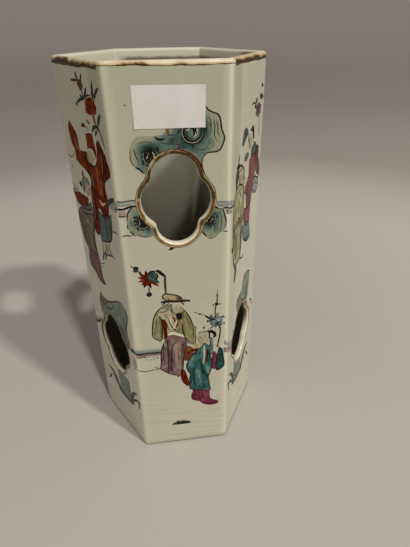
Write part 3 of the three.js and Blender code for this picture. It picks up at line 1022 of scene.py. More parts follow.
def rocks_over_opening(wall, name, **placed):
    rock = Painting(wall, **placed)
    outline = [
        (-22.6, 240), (-22, 245), (-19.5, 248.3), (-15, 249.3), (-9, 249), (-4, 250), (-2.5, 253), (0, 257),
        (6, 260), (12, 262), (19, 262.8), (20.5, 261), (23, 259.7), (25, 259), (26.3, 257.5), (27, 255),
        (27.3, 253), (27.8, 250.5), (29, 247.5), (29.2, 246), (28.5, 243.5), (27.3, 240.7), (25.5, 239.2),
        (23, 238.9), (20, 238.6), (18.2, 237.4), (17.1, 235.5), (16.7, 233), (16.9, 230.5), (12, 226),
        (0, 222), (-12, 224), (-16.5, 228.8), (-17.5, 230.3), (-18.8, 231.5), (-20.5, 232.3), (-22, 234),
        (-22.8, 237)
    ]
    rock.wash(ROCK_ENAMEL, outline, tone=0.36, edge=-0.12, mottle=0.2, pools=[(11.7, 250, 7.4, 0.5),
        (19, 249, 4, 0.14), (-11.7, 238.5, 6.0, 0.46), (-14, 243.5, 3.5, 0.2), (1, 245, 5, 0.2),
        (11, 243, 5, 0.14), (24.5, 257, 26.5, 250, 3.4, -0.5), (26.5, 248, 25.5, 242, 3.6, -0.5),
        (21, 261, 24, 258, 3, -0.3), (18, 238.6, 3, -0.1), (-20.5, 246, -11, 248.8, 2.6, -0.5),
        (-22, 243, -21.4, 235, 2.4, -0.5), (-1.2, 251.5, 1.8, -0.5)])
    rock.line(INK, outline[10:29], 0.62, 0.75, start=0.9, end=0.6)
    rock.line(INK, [(-22.4, 243), (-22.8, 240), (-22.8, 237), (-22, 234), (-20.5, 232.3)], 0.35, 0.3)
    rock.line(INK, outline[35:31:-1], 0.75, 0.85, start=0.5, end=0.6)
    rock.line(INK, [(-9, 248.7), (-7.5, 247.3), (-5.5, 246.8), (-3.5, 247.4), (-2.8, 248)], 1.0, 0.75,
        start=0.2)
    rock.line(INK, [(-1.8, 252.4), (-1.6, 250.6), (-1.2, 249.2)], 1.6, 0.1, start=0.9, end=0.6)
    rock.lines(INK, [[(-18.5, 245), (-15, 246), (-10.5, 245.4), (-7.5, 243.6)],
        [(4, 247.5), (3.2, 245), (3.8, 242.8)], [(22.5, 246), (23.4, 243.5), (22, 241.3), (19.5, 240.8)],
        [(18.6, 256), (21, 254), (21.8, 250.5), (20.8, 247.5)], [(-19.5, 241), (-19.8, 238), (-18.4, 234.5)]],
        0.3, 0.35)
    for path in (
        [(24.4, 256), (25.4, 253), (25.6, 249), (27, 246)],
        [(22.8, 257.4), (23.8, 253), (23.6, 248), (25.4, 243.6)], [(20.6, 258.6), (21.8, 254), (21.4, 248)],
        [(14, 241), (17, 240.4), (20.6, 241.6)], [(-8, 246), (-3, 244.6), (3, 244), (8, 242)],
        [(-3, 248.6), (2, 249), (5, 247)], [(-20.6, 243), (-20, 239), (-18, 236)]
    ):
        rock.line(ROCK_ENAMEL, path, 0.5, 0.75, start=0.3, rise=0.12)
    hollow(rock, (11.7, 250), 5.0)
    hollow(rock, (-11.5, 238), 3.9, 40, 0.8)
    rock.fired(name)


def rocks_beside_opening(wall, name, **placed):
    rock = Painting(wall, **placed)
    rock.wash(ROCK_ENAMEL, [(-22, 209.8), (-24, 209.5), (-25, 209), (-27, 206.5), (-28, 203.5),
        (-28.3, 200.5), (-28.5, 197), (-27, 194.5), (-24, 192), (-19, 190), (-14.5, 190), (-10, 194),
        (-12, 202), (-17, 210)], tone=0.18, edge=-0.1, mottle=0.2, pools=[(-19.5, 200, 5, 0.62),
        (-15.6, 197, 3, 0.45), (-26, 205, 2.5, -0.15), (-16, 191.5, 3, 0.1), (-26, 196, 3, -0.12)])
    rock.lines(INK, [[(-24, 209.5), (-25, 209), (-27, 206.5), (-28, 203.5), (-28.1, 200.5)],
        [(-27.5, 194.5), (-26, 193), (-24, 190.8)]], 0.6, 0.75)
    rock.lines(INK, [[(-28, 199.5), (-28.5, 197), (-27.8, 195.2)],
        [(-23.5, 191.7), (-19, 190), (-14.8, 190)],
        [(-24.5, 204.5), (-24, 201), (-24.6, 197.5), (-23, 194.8)], [(-25.8, 203), (-26, 199), (-25, 196)]],
        0.32, 0.4)
    hollow(rock, (-19.4, 199.6), 3.5, 60, 0.9)
    rock.line(INK, [(-21, 197.6), (-19.3, 197.3), (-16.8, 197.2), (-14, 196.5)], 0.9, 0.95, start=0.7)
    outline = [
        (24.3, 206.3), (26.5, 205), (28.5, 204.5), (29.3, 203), (30, 200.5), (30.8, 197), (30.5, 193.5),
        (29.6, 191.2), (26.5, 188.4), (23, 186.6), (20, 185.8), (17.5, 187.8), (15.5, 190.6), (14, 196),
        (18, 204)
    ]
    rock.wash(ROCK_ENAMEL, outline, tone=0.18, edge=-0.1, mottle=0.2, pools=[(20.5, 199.3, 4.4, 0.6),
        (19.5, 194.5, 3.4, 0.4), (24.5, 203, 24.5, 190, 1.0, 0.16), (27, 203, 27.3, 191, 0.9, 0.14),
        (22, 188, 3, -0.12), (29.3, 198, 1.6, -0.18)])
    rock.line(INK, [(23.4, 206), (24.8, 205.8), (26.5, 205)], 0.75, 0.9, start=0.4)
    rock.line(INK, [*outline[1:7], (29.8, 191.5)], 0.6, 0.7)
    hollow(rock, (20.4, 198.8), 3.3, 200, 0.9)
    rock.lines(INK, [[(15.8, 190.8), (17.2, 189.2), (18.8, 187)]], 0.7, 0.8)
    rock.lines(INK, [[(20, 185.7), (22.8, 186), (26, 187.8)], [(18, 196.5), (19.5, 195), (22, 194.8)],
        [(25.5, 203), (25.8, 197), (25, 190.5)], [(23.6, 196), (23.8, 192), (23, 188.8)],
        [(27.7, 201.5), (28, 196), (27.3, 191)]], 0.34, 0.45)
    rock.fired(name)


rocks_over_opening("front", "front_rocks_over_opening")
rocks_beside_opening("front", "front_rocks_beside_opening")


# The garden wall: a low tiled wall behind the figures, washed in pale teal along its coping and pinkish
# brown below, with a few brick dabs and a ground line at its foot.
BRICK_ENAMEL = Enamel(
    "brick_pink_brown", [(178, 164, 146), (156, 134, 120), (124, 96, 88), (84, 60, 54)], roughness=0.35
)
SLATE_ENAMEL = Enamel("slate_blue_enamel", [(168, 168, 154), (134, 140, 136), (98, 108, 112), (58, 68, 76)])


def strip(painting, pigment, places, depth, tone, **kind):
    """A wash that hangs by some depth beneath a line of places."""
    painting.wash(pigment, [(*places[0], 1), *places[1:-1], (*places[-1], 1),
        (places[-1][0], places[-1][1] - depth, 1), *[(x, z - depth) for x, z in reversed(places[1:-1])],
        (places[0][0], places[0][1] - depth, 1)], tone, **kind)


coping = Painting("front")
strip(coping, COPING_ENAMEL, [(-32.7, 213), (-29, 213.1), (-25.5, 213.2), (-22.2, 213.4)], 3.2, 0.25)
coping.line(INK, [(-32.7, 213.3), (-30, 212.9), (-26, 213.3), (-22.6, 213.6)], 0.5, 0.35, start=0.9, end=0.7)
coping.line(INK, [(-32.7, 208.6), (-30.5, 208.3), (-28, 208.9), (-25, 209.8), (-22, 209.8)], 0.85, 0.85,
    start=1, end=0.6)
strip(coping, BRICK_ENAMEL, [(-32.7, 207.6), (-30.5, 207.3), (-28.3, 207.4)], 3.4, 0.2)
coping.line(INK, [(-32.7, 204), (-30.5, 203.8), (-28.2, 204.3)], 0.55, 0.4, start=0.9)
coping.line(INK, [(-32, 191.4), (-29.5, 191.7), (-27.5, 191.4), (-25.5, 191.6)], 0.5, 0.6)
strip(coping, COPING_ENAMEL, [(25, 209.3), (28, 209.2), (32.7, 209)], 3.2, 0.35)
coping.line(INK, [(25.2, 209.6), (28.5, 209.4), (32.7, 209.3)], 0.3, 0.2)
coping.line(INK, [(28.8, 205.1), (30.5, 205.3), (32.7, 205)], 0.7, 0.85, start=0.6, end=0.9)
coping.wash(BRICK_ENAMEL, [(30.7, 204.3), (32.7, 204.4, 1), (32.7, 200.8, 1), (31.2, 201.2)], 0.5)
coping.line(INK, [(28.8, 189.9), (30.5, 190), (32.2, 189.7)], 0.5, 0.55)
coping.fired("front_upper_garden_wall")

low_wall = Painting("front")
strip(low_wall, COPING_ENAMEL, [(-32.7, 102.5), (-29, 102.3), (-24, 102.4), (-19, 102.2), (-15, 102)], 2.6,
    0.22)
strip(low_wall, BRICK_ENAMEL, [(-32.7, 99.6), (-28, 99.2), (-22, 99.4), (-14.6, 99.2)], 3.6, 0.42,
    pools=[(-19, 98, 3, 0.15), (-30, 98, 3, 0.12)], mottle=0.2)
low_wall.line(INK, [(-32.7, 98.6), (-30, 98.2), (-24, 98.6), (-20, 98.4), (-15, 98.6)], 1.1, 0.6, start=1,
    end=0.8)
low_wall.line(SLATE_ENAMEL, [(-32.7, 99.8), (-26, 99.6), (-20, 99.8), (-15, 99.7)], 0.9, 0.5, start=1,
    end=0.9)
low_wall.line(INK, [(-32.7, 95.3), (-29, 95.1), (-26, 95.4)], 0.5, 0.6, start=1)
for spot in (
    (-26, 94.8), (-23.5, 95), (-20.5, 94.8), (-18, 94.2), (-25, 92.6), (-22.3, 92.3), (-20.2, 92.8),
    (-17.6, 93.2)
):
    low_wall.dab(BRICK_ENAMEL, spot, (1.9, 1.0), 0.95, lean=-8)
low_wall.lines(INK, [[(-32.7, 83.6), (-30.8, 82.2), (-27, 81.6), (-22, 82.2), (-16.6, 82.6)],
    [(-20, 84.8), (-17.8, 83.4), (-16.2, 82.2)]], 0.5, 0.35)
strip(low_wall, COPING_ENAMEL, [(30.9, 103.6), (31.8, 103.7), (32.7, 103.6)], 3.2, 0.3)
low_wall.wash(BRICK_ENAMEL, [(30.6, 97, 1), (32.7, 97.3, 1), (32.7, 92.2, 1), (31, 92.4), (30.4, 94)], 0.5)
low_wall.line(INK, [(30.7, 100.3), (31.8, 100.2), (32.7, 100)], 0.5, 0.7)
low_wall.fired("front_lower_garden_wall")


# The scholar: an old man in a broad hat with a flowering staff, in an olive robe with wide sleeves over an
# aubergine skirt. The robes are thick enamels over sepia drawing, and the face is a thin flesh wash.
OLIVE_ENAMEL = Enamel(
    "olive_robe_enamel", [(180, 174, 146), (140, 134, 90), (112, 105, 62), (76, 68, 38), (36, 30, 18)]
)
AUBERGINE_ENAMEL = Enamel(
    "aubergine_robe_enamel", [(164, 142, 128), (136, 112, 104), (108, 84, 81), (80, 58, 57), (48, 34, 34)]
)
IRON_RED = Enamel(
    "iron_red", [(184, 104, 48), (148, 62, 18), (108, 36, 6), (68, 20, 3), (34, 10, 2)], roughness=0.6,
    streak=0.6, shine=0.04
)
FLESH_WASH = Enamel(
    "flesh_wash", [(190, 182, 152), (180, 163, 130), (162, 133, 100), (128, 93, 66)], roughness=0.3
)
LEAF_ENAMEL = Enamel(
    "leaf_green_black", [(112, 138, 124), (60, 96, 90), (30, 56, 51), (17, 28, 24), (10, 14, 10)],
    streak=0.35
)


def head(figure, middle, size, facing=1, lean=0.0, flush=0.1):
    """A painted head of the plainest kind, drawn as a painter's manual sets it out: an oval with the eyes
    on its middle line, the nose and mouth at even parts below, and all at rest. It faces three quarters to
    one side."""
    x, z = middle
    wide, high = size
    tilt = Matrix.Rotation(radians(lean), 2)

    def at(across, up):
        place = tilt @ Vector((across * facing * wide / 2, up * high / 2))
        return (x + place.x, z + place.y)

    turns = np.linspace(0, 2 * pi, 14)[:-1]
    oval = [at(cos(a) * (0.94 if sin(a) > 0 else 0.94 + 0.12 * sin(a)), sin(a)) for a in turns]
    cheeks = [(*at(0.35, -0.25), wide * 0.22, 0.22), (*at(-0.55, -0.25), wide * 0.2, 0.18)]
    figure.wash(FLESH_WASH, oval, 0.12 + flush, pools=cheeks, grid=0.6, edge=0.1)
    jaw = [
        at(0.9, 0.35), at(0.94, -0.1), at(0.75, -0.62), at(0.3, -0.97), at(-0.15, -0.98), at(-0.62, -0.66),
        at(-0.85, -0.15)
    ]
    figure.line(INK, jaw, 0.26, 0.5, end=0.5)
    for side in (0.55, -0.25):
        figure.line(INK, [at(side - 0.2, 0.06), at(side, 0.11), at(side + 0.2, 0.05)], 0.3, 0.9, start=0.4)
        figure.line(INK, [at(side - 0.25, 0.3), at(side, 0.39), at(side + 0.24, 0.32)], 0.24, 0.5, start=0.3)
    figure.line(INK, [at(0.22, 0.08), at(0.3, -0.15), at(0.32, -0.32), at(0.16, -0.36)], 0.22, 0.45,
        start=0.3)
    figure.line(IRON_RED, [at(-0.02, -0.56), at(0.2, -0.6), at(0.4, -0.56)], 0.34, 0.45, start=0.4, end=0.4)
    figure.line(INK, [at(-0.95, 0.12), at(-1.06, 0.0), at(-0.94, -0.25)], 0.24, 0.5)


def hand(figure, middle, size, lean=0):
    figure.dab(FLESH_WASH, middle, size, 0.2, lean)
    figure.ring(INK, middle, min(size) / 2, 0.22, 0.45, lean, 250)


def scholar(wall, name, robe, skirt, flower, **placed):
    figure = Painting(wall, **placed)
    fall = [
        (-11.5, 112, 1), (-12.3, 107), (-14, 102), (-15, 97), (-15.3, 90), (-15.8, 86), (-16.5, 83, 1),
        (-14, 80.5), (-10.5, 77.5), (-7, 75.5), (-3, 74), (-1, 75.5, 1), (0, 80), (1, 90), (2, 97),
        (3.5, 103), (3.2, 110, 1), (0, 113), (-6, 114)
    ]
    figure.wash(skirt, fall, tone=0.36, pools=[(-7, 98, -8, 80, 1.3, 0.32),
        (-13, 104, -12.6, 86, 1.0, 0.26), (-9.8, 108, -10.2, 80, 0.9, 0.34), (0.8, 104, 0, 84, 1.2, 0.26),
        (-3, 104, -3.6, 84, 1.9, -0.3), (-14.6, 96, -14.6, 86, 0.8, 0.2),
        (-11.8, 106, -11.6, 84, 0.7, -0.28), (-5.4, 106, -6, 80, 0.8, -0.2)], mottle=0.3)
    figure.lines(INK, [fall[1:7], fall[6:11],
        [(-3, 74), (-1, 75.5), (0, 80), (1, 90), (2, 97), (3.5, 103), (2.8, 109)],
        [(-3.5, 107.5), (-6, 104), (-7.5, 98), (-8, 90), (-8.5, 82), (-7, 76.5)],
        [(-9.5, 110), (-9.8, 104), (-9.5, 95), (-10, 86), (-10.3, 79)]], 0.62, 0.7, start=0.7, end=0.5)
    figure.lines(INK, [[(-13, 104), (-13.5, 95), (-12.5, 86)], [(0.5, 106), (1, 98)],
        [(-5.5, 97), (-5.8, 88), (-5, 80)], [(-11.8, 103), (-11.6, 96)], [(-3, 103), (-2.6, 92), (-3.2, 82)]],
        0.36, 0.5)
    figure.dab(INK, (-3.5, 73.2), (2.0, 1.4), 0.8)
    figure.wash(robe, [(-15, 133.8, 1), (-11, 133.3), (-8, 134.4), (-5.4, 137.4, 1), (-3.6, 130),
        (-2.6, 125), (-2.4, 119.5), (-4, 115.2, 1), (-9, 113.4, 1), (-9.2, 124), (-10.6, 127.4),
        (-13, 128.8), (-14.6, 131)], -0.02, pools=[(-9, 131, 3, 0.1), (-5, 124, 1.5, 0.15)], edge=0.05)
    figure.wash(robe, [(-9, 139.5, 1), (-12.5, 137), (-15, 134.4, 1), (-11, 133.6), (-8, 134.8),
        (-6, 136.6), (-5.4, 139.4, 1)], 0.05)
    sleeve = [
        (-15.2, 134.2, 1), (-17, 131), (-18.5, 126.5), (-19.3, 121), (-19.8, 116), (-19.5, 113),
        (-17.5, 110.5), (-15, 109.4), (-13, 110, 1), (-12.6, 117), (-12.4, 123), (-12.8, 127.6),
        (-14, 130.4)
    ]
    figure.wash(robe, sleeve, tone=0.2, pools=[(-13.4, 129, -13.2, 112, 1.1, 0.5),
        (-16.4, 127, -16.4, 116, 0.9, 0.14), (-18, 119, 1.6, -0.1)], mottle=0.16)
    figure.wash(robe, [(-3.4, 127.4, 1), (-1.5, 131), (2.8, 134, 1), (4.5, 131), (6.5, 127), (8, 122.5),
        (9.3, 119.5), (11, 117.5, 1), (10.4, 110), (9.8, 103.5), (8, 103.2, 1), (4.5, 107), (2.6, 110.3, 1),
        (-0.5, 113.4), (-4.4, 115.2, 1), (-2.2, 120)], tone=0.24, pools=[(1.4, 121, 2.2, 112, 0.9, 0.4),
        (6, 125, 8.5, 112, 1.2, 0.12), (-2, 124, 1.6, 0.2), (-1, 117, 1.4, 0.15), (9, 112, 1.2, 0.14)],
        mottle=0.16)
    figure.wash(IRON_RED, [(-12.2, 127.6), (-10.4, 127), (-9.4, 124.5), (-9.3, 116), (-9.8, 110.5),
        (-12.3, 110, 1), (-12.1, 117), (-12.2, 122)], 0.62, pools=[(-11, 118, 1.2, 0.15)], rise=0.12)
    figure.lines(INK, [[(-9, 139.5), (-12.5, 137), (-15, 134.5), *sleeve[1:9]],
        [(-14, 130), (-12.7, 127.5), (-12.4, 123), (-12.6, 117), (-13, 110.6)],
        [(2.8, 134), (4.5, 131), (6.5, 127), (8, 122.5), (9, 119.5), (11, 117.5)],
        [(1.5, 121.5), (1.2, 117), (2, 113), (2.6, 110), (5, 106.5), (8, 103)]], 0.6, 0.72, start=0.7,
        end=0.5)
    figure.lines(INK, [[(-15, 133.8), (-11, 133.3), (-8, 134.5), (-6.5, 136.5)],
        [(-15.8, 129), (-16.6, 123), (-16, 117)], [(-17.8, 121), (-18, 115.5), (-16.6, 112)],
        [(-8, 128), (-7.2, 124), (-5.5, 120), (-4, 117.6)], [(-9.2, 124), (-8.6, 119), (-6.4, 116.3)],
        [(-6.6, 126), (-5, 122), (-3, 119.5), (-2.6, 117)],
        [(8, 103), (9.6, 103.6), (10.4, 108), (10.6, 112)], [(4, 128), (5.6, 123), (6, 118)],
        [(8.2, 119), (9, 113), (8.2, 106)], [(-6, 134), (-4, 131.5), (-4.6, 128)],
        [(1.8, 133), (2.6, 129), (2.2, 125)]], 0.36, 0.55)
    figure.wash(IRON_RED,
        [(-5.6, 129), (-3.6, 128.6), (-2.6, 124.6), (-1.4, 121), (-3.4, 119), (-3.6, 121.6), (-4.6, 125)],
        0.45, rise=0.12)
    figure.wash(IRON_RED,
        [(-7.6, 124.6), (-6.4, 124), (-4.6, 119.4), (-2.6, 117), (-4.4, 116.4), (-6.2, 118.6)], 0.45,
        rise=0.12)
    figure.lines(CREAM_ENAMEL,
        [[(-7, 129), (-6.4, 124), (-4, 119.6), (-2.6, 117.6)], [(-2.4, 126), (-3.6, 121.4), (-6.4, 117.6)]],
        0.8, 0.3, rise=0.17)
    figure.lines(INK, [[(-7.8, 128), (-7.2, 123.4), (-5, 118.4)],
        [(-1.8, 125), (-2.8, 121.6), (-5.6, 117.4)], [(-10.6, 132), (-9, 129), (-9.4, 126)]], 0.36, 0.6)
    figure.wash(CREAM_ENAMEL, [(-9.4, 114.6), (-6, 116.2), (-2, 114.8), (1.2, 112.8), (3.3, 111),
        (2.4, 109.6), (-0.5, 110.8), (-3, 112), (-6, 113), (-9, 112.6)], 0.15, rise=0.13)
    figure.lines(INK, [[(-9.4, 114.8), (-6, 116.3), (-2, 114.9), (1.2, 112.9), (3.3, 111)],
        [(-9, 112.4), (-6, 112.9), (-3, 111.8), (0, 110.5), (2.4, 109.5)]], 0.3, 0.45)
    figure.lines(BRICK_ENAMEL,
        [[(3, 110.4), (5.4, 106.4), (8.4, 103)], [(3.2, 107.6), (5, 104.6), (6.6, 103.2)]], 0.8, 0.6)
    head(figure, (-1.2, 134.6), (7.4, 9.6), 1)
    figure.line(INK, [(-4.6, 136), (-5.2, 132), (-4.9, 128.5)], 0.3, 0.4)
    figure.wash(INK, [(-2.4, 131.4), (-0.6, 132), (1.4, 131.4), (2, 129), (1, 126.4), (-0.6, 125.4),
        (-2, 126.4), (-2.8, 129)], 0.8, edge=-0.2, rise=0.13)
    figure.lines(INK, [[(-1.6, 131), (-2.2, 128.6), (-1.8, 125)], [(0, 131), (0, 128), (-0.8, 124.4)],
        [(1, 131), (1.4, 128.6), (0.4, 125)]], 0.4, 1.0, end=0.1)
    figure.lines(INK,
        [[(-1.6, 131.9), (-2.8, 130.4), (-3, 128.6)], [(1.2, 131.9), (2.2, 130.4), (2.3, 128.8)]], 0.3, 0.6)
    figure.wash(FLESH_WASH, [(-9.5, 147.8), (-5, 147), (-1, 145.6), (1.5, 143.5), (3.2, 141.4, 1),
        (-3, 141.2), (-8.6, 141.8, 1), (-10.5, 144.6), (-11, 146)], 0.4,
        pools=[(-0.5, 143.5, 1.8, 0.4), (-7.5, 143, 1.5, 0.2)], edge=0.2)
    figure.dab(BRICK_ENAMEL, (0.4, 143.6), (3.4, 3.2), 0.75)
    figure.lines(INK, [[(-11, 146), (-9.5, 147.8), (-5, 147), (-1, 145.6), (1.5, 143.5), (3, 141.5)],
        [(-11, 146), (-10.4, 144.4), (-8.8, 143.2)]], 0.7, 0.7, start=0.7)
    figure.lines(INK, [[(-1.8, 145.4), (0.4, 142)], [(-0.3, 144.9), (1.8, 142)], [(-2.2, 143.6), (1, 144)],
        [(-2, 142.4), (2, 142.9)], [(-6.8, 144.5), (-7.6, 142)], [(-4.5, 143.2), (-5.5, 141.8)]], 0.34, 0.8)
    figure.line(INK, [(-12.3, 141.4), (-8, 142), (-3, 141.3), (3, 141.2), (7.2, 140.8)], 1.5, 0.55,
        start=0.5, end=0.75)
    figure.lines(INK, [[(-12, 139.6), (-8, 141.2), (-3, 140.4)], [(1, 140.2), (2.6, 138.8), (3, 137.2)],
        [(-7, 140.4), (-9.4, 137.6), (-12.4, 135.4)], [(-6, 139.6), (-8, 136.6), (-10.4, 134.6)],
        [(-4.8, 139.4), (-5.8, 135.6), (-5.6, 131.6)]], 0.6, 0.6)
    hand(figure, (9.6, 102.2), (2.8, 2.0), -20)
    hand(figure, (-14.5, 108.4), (2.2, 1.8), 10)
    figure.fired(name)

    staff = Painting(wall, **placed)
    staff.line(INK, [(-8.3, 161.5), (-8.6, 155), (-8.5, 150), (-8.6, 148)], 1.1, 0.35, start=0.8, end=0.7)
    staff.line(INK, [(-13, 166.5), (-11.5, 164.5), (-9.5, 162.5), (-8, 161)], 1.5, 0.85, start=0.45, end=0.6)
    staff.lines(INK, [[(-12, 165), (-14.5, 165.8), (-16.6, 164.6)], [(-25, 166.5), (-24, 166), (-23, 165)],
        [(-19.3, 150.2), (-19.1, 152), (-19.4, 154.2)], [(-28.8, 170.2), (-27.4, 169.6)]], 0.6, 0.8)
    staff.petals(flower, (-19.6, 160), [(-25.2, 166), (-22.4, 164.4), (-20.4, 167.6), (-17.6, 166.4),
        (-26, 162.4), (-25.8, 158.6), (-24, 155.6), (-22.6, 153.2), (-19.8, 154.6), (-17.4, 152),
        (-11.6, 153.6), (-14, 156.8), (-13, 159.6)], 2.3, 0.5)
    staff.petals(flower, (-19.6, 159.6), [(-22.6, 162), (-23.2, 157), (-18.6, 155.4), (-15, 155.4)], 1.8,
        0.15, vein=0.3)
    staff.dab(flower, (-20, 160.2), (3.2, 2.6), 0.8, rise=0.2)
    staff.dab(LEAF_ENAMEL, (-16, 161.8), (6.8, 7.4), 0.22, rise=0.2,
        pools=[(-17.6, 164, 1.8, 0.4), (-14.4, 160, 1.4, 0.3)], mottle=0.3)
    staff.line(LEAF_ENAMEL, [(-16, 159), (-13.6, 158), (-12.4, 156.6)], 1.6, 0.4, end=0.4)
    staff.lines(LEAF_ENAMEL, [[(-18.6, 164.6), (-16.4, 165.8), (-14, 164.4)],
        [(-13.4, 164), (-13, 161.4), (-14.6, 158.6)], [(-17.8, 162.6), (-16, 161.4), (-15.4, 163)]], 0.7,
        0.85, rise=0.24)
    staff.dab(LEAF_ENAMEL, (-26.2, 168.6), (3.8, 3.4), 0.5, 20, pools=[(-26.8, 169.4, 1.2, 0.35)])
    staff.line(LEAF_ENAMEL, [(-28.2, 167.2), (-26, 166.4), (-24.6, 168)], 0.7, 0.8)
    staff.dab(LEAF_ENAMEL, (-29, 170.8), (1.2, 1.0), 0.6)
    staff.dab(LEAF_ENAMEL, (-19.3, 148.5), (4.0, 4.0), 0.5, pools=[(-20, 147.6, 1.3, 0.3)])
    staff.fired(name + "_staff")


scholar("front", "front_scholar", OLIVE_ENAMEL, AUBERGINE_ENAMEL, IRON_RED)


# The boy: a servant in a teal robe with a flowering branch over his shoulder and magenta boots.
# The rose enamel of the boots is opaque and stands thickest of all.
TEAL_ENAMEL = Enamel(
    "teal_robe_enamel",
    [(146, 168, 156), (92, 132, 124), (52, 100, 96), (26, 68, 66), (14, 40, 40), (8, 18, 18)], crazed=True
)
ROSE_ENAMEL = Enamel(
    "rose_enamel", [(194, 130, 140), (152, 74, 93), (114, 40, 62), (82, 25, 38), (48, 15, 22)]
)
OCHRE_WASH = Enamel(
    "ochre_brown_wash", [(196, 146, 96), (162, 100, 52), (122, 64, 28), (76, 36, 16)], roughness=0.35
)


